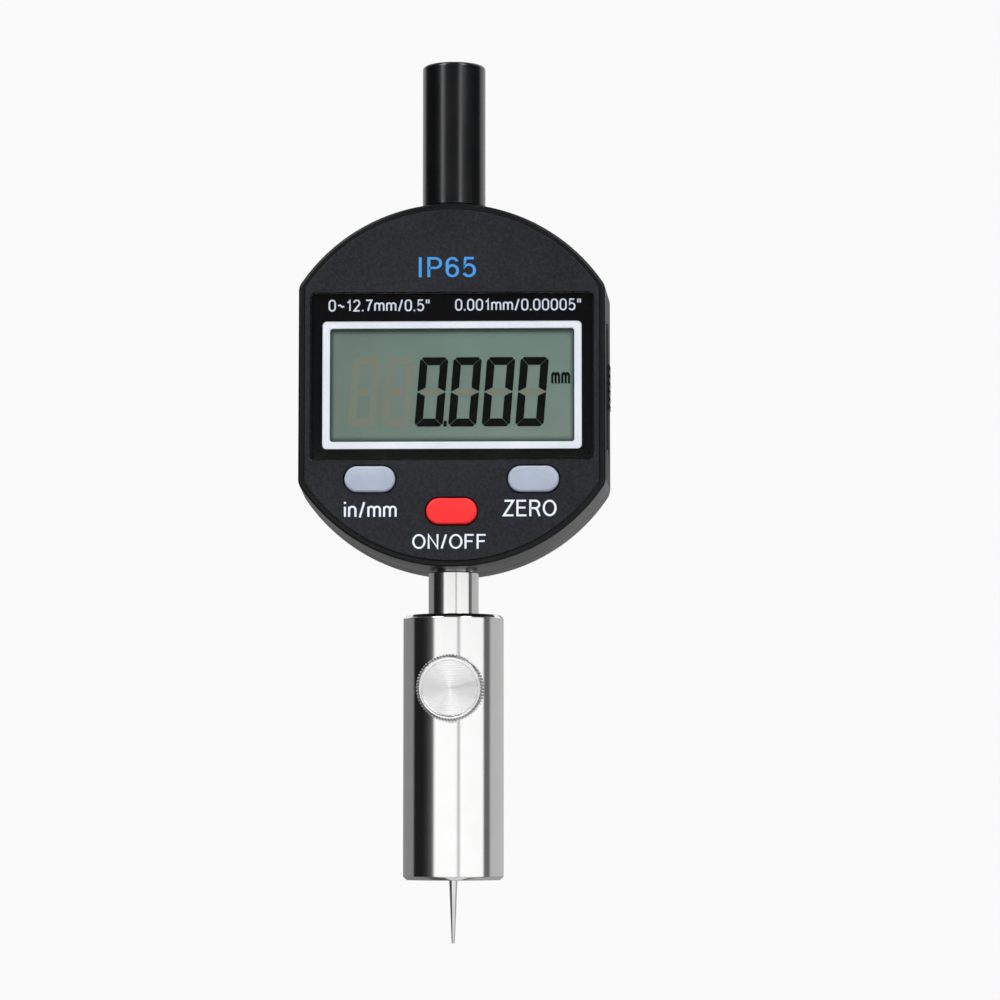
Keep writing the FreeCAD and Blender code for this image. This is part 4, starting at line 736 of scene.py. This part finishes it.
# plain sans letters as centre lines of strokes in a box one unit high, each after how far it reaches across
letters = {
    "0": (0.5, [bend(0.25, 0.72, 0.25, 0.28, 0, 180) + bend(0.25, 0.28, 0.25, 0.28, 180, 360)
                + [(0.5, 0.72)]]),
    "1": (0.3, [[(0.02, 0.78), (0.13, 0.83), (0.24, 1.0), (0.24, 0)]]),
    "2": (0.5, [bend(0.25, 0.73, 0.24, 0.27, 170, -35) + [(0.02, 0), (0.5, 0)]]),
    "5": (0.5, [[(0.46, 1), (0.08, 1), (0.03, 0.5)] + bend(0.24, 0.32, 0.26, 0.32, 135, -150, 18)]),
    "6": (0.5, [bend(0.26, 0.7, 0.24, 0.3, 25, 180) + [(0.02, 0.3)],
                bend(0.26, 0.3, 0.24, 0.3, 180, 540, 28)]),
    "7": (0.5, [[(0, 1), (0.5, 1), (0.3, 0.55), (0.18, 0)]]),
    ".": (0.0, [[(0, -0.06), (0, 0.08)]]),
    "~": (0.5, [[(x / 12 * 0.5, 0.45 + 0.1 * sin(x / 12 * tau)) for x in range(13)]]),
    "/": (0.3, [[(0, -0.04), (0.3, 1.04)]]),
    '"': (0.2, [[(0, 0.68), (0, 1.05)], [(0.2, 0.68), (0.2, 1.05)]]),
    "i": (0.0, [[(0, 0), (0, 0.72)], [(0, 0.92), (0, 1.06)]]),
    "n": (0.42, [[(0, 0), (0, 0.72)], [(0, 0.4)] + bend(0.21, 0.5, 0.21, 0.22, 160, 0) + [(0.42, 0)]]),
    "m": (0.76, [[(0, 0), (0, 0.72)], [(0, 0.4)] + bend(0.19, 0.51, 0.19, 0.21, 160, 0) + [(0.38, 0)],
                 [(0.38, 0.4)] + bend(0.57, 0.51, 0.19, 0.21, 160, 0) + [(0.76, 0)]]),
    "E": (0.56, [[(0.56, 1), (0, 1), (0, 0), (0.58, 0)], [(0, 0.53), (0.52, 0.53)]]),
    "F": (0.54, [[(0.54, 1), (0, 1), (0, -0.06)], [(0, 0.52), (0.47, 0.52)]]),
    "I": (0.12, [[(0, -0.06), (0, 1.06)]]),
    "N": (0.6, [[(0, -0.06), (0, 1), (0.6, 0), (0.6, 1.06)]]),
    "O": (0.76, [bend(0.38, 0.5, 0.38, 0.5, 90, 450, 36)]),
    "P": (0.54, [[(0, -0.06), (0, 1)] + bend(0.29, 0.73, 0.25, 0.27, 90, -90) + [(0, 0.46)]]),
    "R": (0.6, [[(0, -0.06), (0, 1)] + bend(0.33, 0.745, 0.25, 0.255, 90, -90) + [(0, 0.49)],
                [(0.32, 0.49), (0.46, 0.36), (0.6, -0.06)]]),
    "Z": (0.6, [[(0.03, 1), (0.6, 1), (0, 0), (0.62, 0)]]),
}


def strokeSides(points, width):
    # the two edges of a flat stroke along a line, mitred at its corners
    closed = (Vector(points[0]) - Vector(points[-1])).length < 1e-6
    path = [Vector(point) for point in (points[:-1] if closed else points)]
    sides = []
    for n, here in enumerate(path):
        before = here - path[n - 1] if (n or closed) else path[1] - here
        after = path[(n + 1) % len(path)] - here if (n < len(path) - 1 or closed) else before
        before, after = before.normalized(), after.normalized()
        out = Vector((-before.y - after.y, before.x + after.x)).normalized()
        reach = width / 2 / max(out.dot(Vector((-before.y, before.x))), 0.45)
        sides.append((here + out * reach, here - out * reach))
    return sides + [sides[0]] if closed else sides


def makeWords(name, words, centre, size, y, finish, slotName, stroke):
    # printed words, fitted to the width and height that they have on the real part
    shape = bmesh.new()
    across = 0.0
    for sign in words:
        reach, lines = letters[sign]
        for order, line in enumerate(lines):  # crossing strokes never share a plane
            sides = strokeSides([(x + across, z) for x, z in line], stroke)
            depths = (0, 1 + 0.15 * order)
            rings = [[shape.verts.new((*corner, depth)) for corner in pair for depth in depths]
                     for pair in sides]
            for one, other in zip(rings, rings[1:]):
                for p, q in ((0, 1), (1, 3), (3, 2), (2, 0)):
                    shape.faces.new((one[p], one[q], other[q], other[p]))
            for ring in (rings[0], rings[-1]):
                shape.faces.new((ring[0], ring[1], ring[3], ring[2]))
        across += reach + stroke + 0.14
    xs, zs = [v.co.x for v in shape.verts], [v.co.y for v in shape.verts]
    low, high = Vector((min(xs), min(zs))), Vector((max(xs), max(zs)))
    mesh = meshFrom(shape, name)
    mesh.transform(Matrix.Translation((-(low.x + high.x) / 2, -(low.y + high.y) / 2, 0)))
    scale = (size[0] / (high.x - low.x) * mm, size[1] / (high.y - low.y) * mm, digits["film"] * mm, 1)
    mesh.transform(Matrix.Diagonal(scale))
    mesh.transform(Matrix.Translation((centre[0] * mm, y * mm, (centreZ + centre[1]) * mm)) @ onFace)
    finishPiece(name, mesh, slotName, None, finish=finish)


# (piece, words, centre, size, ink) on the overlay, and the same in white behind the window
overlayWords = [("rating_print", "IP65", (-0.7, 18.7), (9.1, 3.25), "blueInk"),
                ("units_print", "in/mm", (-12.85, -19.95), (8.35, 2.5), "whiteInk"),
                ("zero_print", "ZERO", (12.3, -19.75), (8.6, 2.65), "whiteInk"),
                ("power_print", "ON/OFF", (-0.4, -25.0), (11.6, 2.65), "whiteInk")]
windowWords = [("range_print", '0~12.7mm/0.5"', (-11.6, 12.8), (16.1, 2.05)),
               ("step_print", '0.001mm/0.00005"', (10.5, 12.85), (20.0, 2.05))]


def makePrint():
    for name, words, centre, size, ink in overlayWords:
        makeWords(name, words, centre, size, overlayY, ink, "plate_film", 0.135)
    maskY = boxOf("lens_mask")[0].y
    for name, words, centre, size in windowWords:
        makeWords(name, words, centre, size, maskY, "whiteInk", "mask_print", 0.14)
    signY = glassLow.y - 0.03
    makeWords("unit_sign", "mm", (17.25, 1.15), (3.0, 1.85), signY, "drivenSegment", "lcd_glass", 0.23)


makeWindow()
makeDigits()
makePrint()
print("window and display made")


# buttons

def makeKey(name):
    low, high = keyBoxes[name]
    shoulder = low.y + key["dome"]  # where the crown meets the rounded edge
    wallY = high.y - key["flangeDepth"]
    levels = [(high.y, key["flange"]), (wallY, key["flange"]), (wallY, 0.0), (shoulder + key["edge"], 0.0)]
    steps = 6
    for n in range(1, steps + 1):
        turn = pi / 2 * n / steps
        levels.append((shoulder + key["edge"] * (1 - sin(turn)), -key["edge"] * (1 - cos(turn))))
    inner = key["width"] / 2 - key["edge"] - key["flat"]
    for n in range(1, steps + 1):
        share = n / steps
        levels.append((low.y + key["dome"] * (1 - share) ** 2, -key["edge"] - inner * share))
    cap = stackOutlines([(y, keyOutline(name, grow)) for y, grow in levels], capStart=True, capEnd=True)
    slotName = "key_red" if name == "power" else "key_grey"
    finishPiece(f"{name}_key_cap", cap, slotName, f"{name}_button", f"{name}_key")


for keyName in keyNames:
    makeKey(keyName)
print("keys made")


# cap, stem, foot, screw and needle

cap = {"wall": 1.6, "thread": 3.8, "threadLength": 7.0, "crownRound": 0.55}


def makeCap():
    low, high = boxOf("top_cap")
    r, z0, z1 = high.x, low.z, high.z
    inner, threadTop, under = r - cap["wall"], z0 + cap["threadLength"], z1 - cap["wall"]
    path = [(0, z1, 0), (r, z1, cap["crownRound"]), (r, z0, 0.15), (cap["thread"], z0, 0.1),
            (cap["thread"], threadTop, 0), (inner, threadTop, 0), (inner, under, 0), (0, under, 0)]
    finishPiece("cap", turnProfile(softCorners(path, 6), closed=False), "cap_anodised", "top_cap")


stem = {"radius": 4.0, "bore": 2.03, "wiper": 2.8, "wiperDepth": 2.0, "neck": 3.3, "neckDrop": 0.2,
        "lowRound": 0.4, "flange": 1.0}


def makeStem():
    low, high = boxOf("stem_bushing")
    seat, under = low.z + stem["wiperDepth"], caseLow.z + 0.2  # under is the case's underside at the stem
    groove, shoulder = under - stem["neckDrop"], high.z - stem["flange"]
    r, bore, wiper, neck = stem["radius"], stem["bore"], stem["wiper"], stem["neck"]
    path = [(bore, seat, 0), (wiper, seat, 0), (wiper, low.z, 0.1), (r, low.z, stem["lowRound"]),
            (r, groove, 0.12), (neck, groove, 0.08), (neck, under + 1, 0), (r, under + 1, 0),
            (r, shoulder, 0), (high.x, shoulder, 0.1), (high.x, high.z, 0.1), (bore, high.z, 0.1)]
    finishPiece("stem", turnProfile(softCorners(path)), "polished_steel", "stem_bushing")


foot = {"bore": 4.03, "boreFrom": 15.0, "well": 3.2, "floor": 5.0, "hole": 2.4, "chamfer": 0.55,
        "soft": 0.25, "tapped": 2.03, "tappedFrom": 3.5}


def makeFoot():
    low, high = boxOf("foot_barrel")
    r, z0, z1 = high.x, low.z, high.z
    cut, soft, floor, step = foot["chamfer"], foot["soft"], z0 + foot["floor"], z0 + foot["boreFrom"]
    path = [(foot["hole"], floor, 0), (foot["hole"], z0, soft), (r - cut, z0, soft), (r, z0 + cut, soft),
            (r, z1 - cut, soft), (r - cut, z1, soft), (foot["bore"], z1, soft), (foot["bore"], step, 0),
            (foot["well"], step, 0), (foot["well"], floor, 0)]
    barrel = turnProfile(softCorners(path, 5), count=192)
    screwLow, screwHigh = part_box("clamp_screw")
    across = Matrix.Translation((0, 0, (screwLow.z + screwHigh.z) / 2)) @ alongY
    barrel = carve(barrel, roundRod(foot["tapped"], foot["tappedFrom"], r + 1, across))
    finishPiece("barrel", barrel, "polished_steel", "foot_barrel", "foot")


thumbScrew = {"knurls": 64, "knurlDepth": 0.27, "bevel": 0.5, "rim": 0.95, "dish": 0.35, "headLength": 5.0,
              "collar": 3.1, "collarLength": 1.0, "shank": 2.0}


def makeThumbScrew():
    low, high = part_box("clamp_screw")
    s, r = thumbScrew, high.x / mm
    length = (high.y - low.y) / mm
    pointsPerKnurl = 6
    count = s["knurls"] * pointsPerKnurl

    def ring(radius, along, knurled):
        if radius < 1e-6:
            return [(0, 0, -along * mm)]
        points = []
        for n in range(count):
            phase = (n % pointsPerKnurl) / pointsPerKnurl
            depth = s["knurlDepth"] * min(1.0, 2.4 * abs(phase - 0.5)) if knurled else 0.0
            reach = min(radius, r - s["knurlDepth"] + depth) * mm
            turn = tau * n / count
            points.append((reach * cos(turn), reach * sin(turn), -along * mm))
        return points

    rimIn = r - s["rim"]
    bevel, under = s["bevel"], s["headLength"]
    collarEnd = under + s["collarLength"]
    path = [(0, s["dish"], 0), (rimIn - 0.1, s["dish"], 0), (rimIn, 0, 0.06), (r - bevel, 0, 0.05),
            (r, bevel, 0.05), (r, under - bevel, 0.05), (r - bevel, under, 0.05), (s["collar"], under, 0),
            (s["collar"], collarEnd, 0.15), (s["shank"], collarEnd, 0), (s["shank"], length, 0.25),
            (0, length, 0)]
    levels = [ring(radius, along, radius > r - bevel * 0.95) for radius, along in softCorners(path, 3)]
    mesh = skinRings(levels)
    mesh.transform(Matrix.Translation((0, low.y, (low.z + high.z) / 2)) @ alongY)
    finishPiece("thumb_screw", mesh, "turned_steel", "clamp_screw", "screw")


needle = {"tip": 0.25, "taper": 0.0425, "collarLow": 11.0, "collarHigh": 14.0, "collar": 1.8, "shank": 1.2}


def makeNeedle():
    low, high = boxOf("contact_needle")
    tip, collar, shank = needle["tip"], needle["collar"], needle["shank"]
    z0, z1, z2, z3 = low.z, needle["collarLow"], needle["collarHigh"], high.z
    root = tip + needle["taper"] * (z1 - z0)
    path = [(0, z0, 0), (tip, z0, 0.12), (root, z1, 0.1), (collar, z1, 0.1), (collar, z2, 0),
            (shank, z2, 0), (shank, z3, 0.1), (0, z3, 0)]
    mesh = turnProfile(softCorners(path), count=64, closed=False)
    finishPiece("needle", mesh, "polished_steel", "contact_needle", "spindle_group")


makeCap()
makeStem()
makeFoot()
makeThumbScrew()
makeNeedle()
print("turned pieces made")


# battery drawer

drawer = {"plate": 1.2, "edge": 0.22, "ridgeHeight": 7.5, "ridgeProud": 0.45, "ridgeInset": 0.6, "ribs": 6,
          "wall": 1.3, "passage": 2.2, "room": 0.1, "trayGap": 0.16, "trayReach": 1.0}


def makeDrawer():
    outer = drawerHigh.x - drawer["ridgeProud"]
    deep, tall = (drawerHigh.y - drawerLow.y) / 2, (drawerHigh.z - drawerLow.z) / 2
    cover = blockMesh((outer - drawer["plate"], -deep, centreZ - tall), (outer, deep, centreZ + tall),
                      drawer["edge"], 4)
    finishPiece("drawer_cover", cover, "drawer_black", "battery_drawer", "drawer")
    half, steps = drawer["ridgeHeight"] / 2, 72
    crest = []
    for n in range(steps + 1):
        share = n / steps
        swell = 0.5 - 0.5 * cos(tau * share * drawer["ribs"])
        crest.append((outer + drawer["ridgeProud"] * (0.55 + 0.45 * swell), half * (2 * share - 1)))
    outline = [(outer - 0.3, -half), *crest, (outer - 0.3, half)]
    ridge = cutPlate([outline], 2 * (deep - drawer["ridgeInset"]), 0.08, atCentre @ onFace)
    finishPiece("drawer_ridge", ridge, "drawer_black", "battery_drawer", "drawer")
    low, high = boxOf("battery_cell")
    cellX, cellRadius = (low.x + high.x) / 2, (high.z - low.z) / 2
    pocket, wall = cellRadius + drawer["room"], cellRadius + drawer["wall"]
    inner, end, gap = drawerLow.x, outer - drawer["trayReach"], drawer["passage"]
    lean = asin(gap / pocket)
    tray = [(inner, gap), (inner, wall), (end, wall), (end, -wall), (inner, -wall), (inner, -gap),
            *arc((cellX, 0), pocket, pi + lean, 3 * pi - lean, 48)]
    low, high = boxOf("drawer_seal")
    mesh = cutPlate([tray], high.y - low.y - drawer["trayGap"], 0.1, atCentre @ onFace)
    finishPiece("drawer_tray", mesh, "drawer_black", "battery_drawer", "drawer")


makeDrawer()
print("drawer made")


# floor, light and camera

studio = {"floorDrop": 42.0, "floorSize": 500, "pale": 0.956, "sky": (0.04, 0.2, 0.3), "bandMiddle": -2.6,
          "bandHalf": 7.2, "bandSoft": 0.9, "floorShare": 0.55}
# bright and dark panels round the part, as (degrees round from the front, brightness)
panels = [(-180, 0.45), (-160, 0.3), (-104, 0.29), (-98, 0.015), (-72, 0.015), (-62, 0.035),
          (-54, 0.08), (-48, 0.15), (-45.5, 0.3), (-40, 1.4), (9, 1.4), (12.5, 0.72), (15.5, 0.67),
          (19, 1.4), (73, 1.35), (78, 0.15), (92, 0.17), (98, 0.62), (152, 0.62), (180, 0.45)]


def panelLight(tree, direction):
    # the brightness of the panels in a direction seen from the part
    axes = addNode(tree, "SeparateXYZ", inputs={0: direction}).node.outputs
    away = addNode(tree, "Math", "MULTIPLY", {0: axes[1], 1: -1.0})
    turn = addNode(tree, "Math", "ARCTAN2", {0: axes[0], 1: away})
    share = addNode(tree, "MapRange", inputs={"Value": turn, "From Min": -pi, "From Max": pi})
    ramp = addNode(tree, "ValToRGB", inputs={0: share})
    stops = ramp.node.color_ramp.elements
    while len(stops) < len(panels):
        stops.new(0.5)
    for stop, (degrees, level) in zip(stops, panels):
        stop.position = (degrees + 180) / 360
        stop.color = (level / 2, level / 2, level / 2, 1)
    return addNode(tree, "VectorMath", "SCALE", {0: ramp, "Scale": 2.0}), axes


def makeWorld():
    world = bpy.data.worlds.new("studio")
    bpy.context.scene.world = world
    world.use_nodes = True
    tree = world.node_tree
    tree.nodes.clear()
    bands, axes = panelLight(tree, addNode(tree, "TexCoord", out="Generated"))
    rise = addNode(tree, "Math", "ARCSINE", {0: axes[2]})
    off = addNode(tree, "Math", "SUBTRACT", {0: rise, 1: radians(studio["bandMiddle"])})
    off = addNode(tree, "Math", "ABSOLUTE", {0: off})
    low = addNode(tree, "MapRange", {"interpolation_type": "SMOOTHSTEP"}, {
        "Value": off, "From Min": radians(studio["bandHalf"]),
        "From Max": radians(studio["bandHalf"] + studio["bandSoft"]),
        "To Min": 1.0, "To Max": 0.0})
    dark, above, below = studio["sky"]
    upper = addNode(tree, "MapRange", inputs={
        "Value": rise, "From Min": radians(11), "From Max": radians(50),
        "To Min": dark, "To Max": above})
    lower = addNode(tree, "MapRange", inputs={
        "Value": rise, "From Min": radians(-45), "From Max": radians(-8),
        "To Min": below, "To Max": dark})
    sky = addNode(tree, "Math", "MAXIMUM", {0: upper, 1: lower})
    around = addNode(tree, "Mix", {"data_type": "RGBA"}, {0: low, 6: sky, 7: bands}, out=2)
    seen = addNode(tree, "LightPath", out="Is Camera Ray")
    colour = addNode(tree, "Mix", {"data_type": "RGBA"}, {
        0: seen, 6: around, 7: (studio["pale"], studio["pale"], studio["pale"], 1)}, out=2)
    glow = addNode(tree, "Background", inputs={"Color": colour})
    addNode(tree, "OutputWorld", inputs={"Surface": glow})


def makeFloor():
    size, z = studio["floorSize"] * mm, cadBox[0][2] - studio["floorDrop"] * mm
    mesh = bpy.data.meshes.new("floor")
    corners = [(-size, -size, z), (size, -size, z), (size, size, z), (-size, size, z)]
    mesh.from_pydata(corners, [], [(0, 1, 2, 3)])
    floor = addObject("floor", mesh)
    material, tree = newMaterial("palePaper")
    place = addNode(tree, "TexCoord", out="Object")
    fibres = addNode(tree, "TexNoise", inputs={"Vector": place, "Scale": 1 / (2 * mm)})
    tone = addNode(tree, "MapRange", inputs={"Value": fibres, "To Min": 0.07, "To Max": 0.09})
    paper = addNode(tree, "BsdfDiffuse", inputs={"Color": tone})
    bands, _ = panelLight(tree, place)  # polished steel mirrors the panels in the floor as well
    dim = addNode(tree, "VectorMath", "SCALE", {0: bands, "Scale": studio["floorShare"]})
    seen = addNode(tree, "LightPath", out="Is Camera Ray")
    pale = studio["pale"] - 0.08
    colour = addNode(tree, "Mix", {"data_type": "RGBA"}, {0: seen, 6: dim, 7: (pale, pale, pale, 1)}, out=2)
    lit = addNode(tree, "Emission", inputs={"Color": colour})
    both = addNode(tree, "AddShader", inputs={0: paper, 1: lit})
    beneath = addNode(tree, "NewGeometry", out="Backfacing")  # open when seen from below
    clear = addNode(tree, "BsdfTransparent")
    sheet = addNode(tree, "MixShader", inputs={0: beneath, 1: both, 2: clear})
    addNode(tree, "OutputMaterial", inputs={"Surface": sheet})
    mesh.materials.append(material)


# softboxes as (name, degrees round, degrees up, distance, width, height, watts), sizes in millimetres
softboxes = [("keyLeft", -42, 40, 700, 200, 440, 2.9), ("keyRight", 38, 40, 700, 180, 440, 2.5),
             ("stripLeft", -40, 13, 700, 120, 170, 0.23), ("stripRight", 26, 13, 700, 130, 170, 0.22),
             ("overhead", 0, 78, 650, 700, 500, 2.0), ("backLeft", -150, 35, 900, 900, 900, 2.3),
             ("backRight", 140, 35, 900, 900, 900, 2.6)]


def makeLights():
    middle = Vector((0, 0, centreZ * 0.8 * mm))
    for name, around, up, distance, width, height, watts in softboxes:
        light = bpy.data.lights.new(name, "AREA")
        light.shape = "RECTANGLE"
        light.size, light.size_y = width * mm, height * mm
        light.energy = watts
        lamp = addObject(name, light)
        a, e = radians(around), radians(up)
        back = Vector((sin(a) * cos(e), -cos(a) * cos(e), sin(e)))
        lamp.location = middle + back * distance * mm
        lamp.rotation_mode = "QUATERNION"
        lamp.rotation_quaternion = back.to_track_quat("Z", "Y")
        lamp.visible_camera = False
        lamp.visible_glossy = name != "overhead"  # a ceiling that lights but isn't mirrored


cameraLook = {"right": 26.0, "away": 601.4, "height": 8.1, "turnLeft": 1.77, "tiltUp": 4.982, "lens": 135.8}


def makeCamera():
    view = bpy.data.cameras.new("camera")
    view.lens = cameraLook["lens"]
    view.clip_start, view.clip_end = 0.01, 20
    camera = addObject("camera", view)
    camera.location = (cameraLook["right"] * mm, -cameraLook["away"] * mm, cameraLook["height"] * mm)
    camera.rotation_euler = (radians(90 + cameraLook["tiltUp"]), 0, radians(cameraLook["turnLeft"]))
    bpy.context.scene.camera = camera
    bpy.context.scene.view_settings.view_transform = "Standard"  # colours come out as the hex values say


makeWorld()
makeFloor()
makeLights()
makeCamera()
print("studio made")
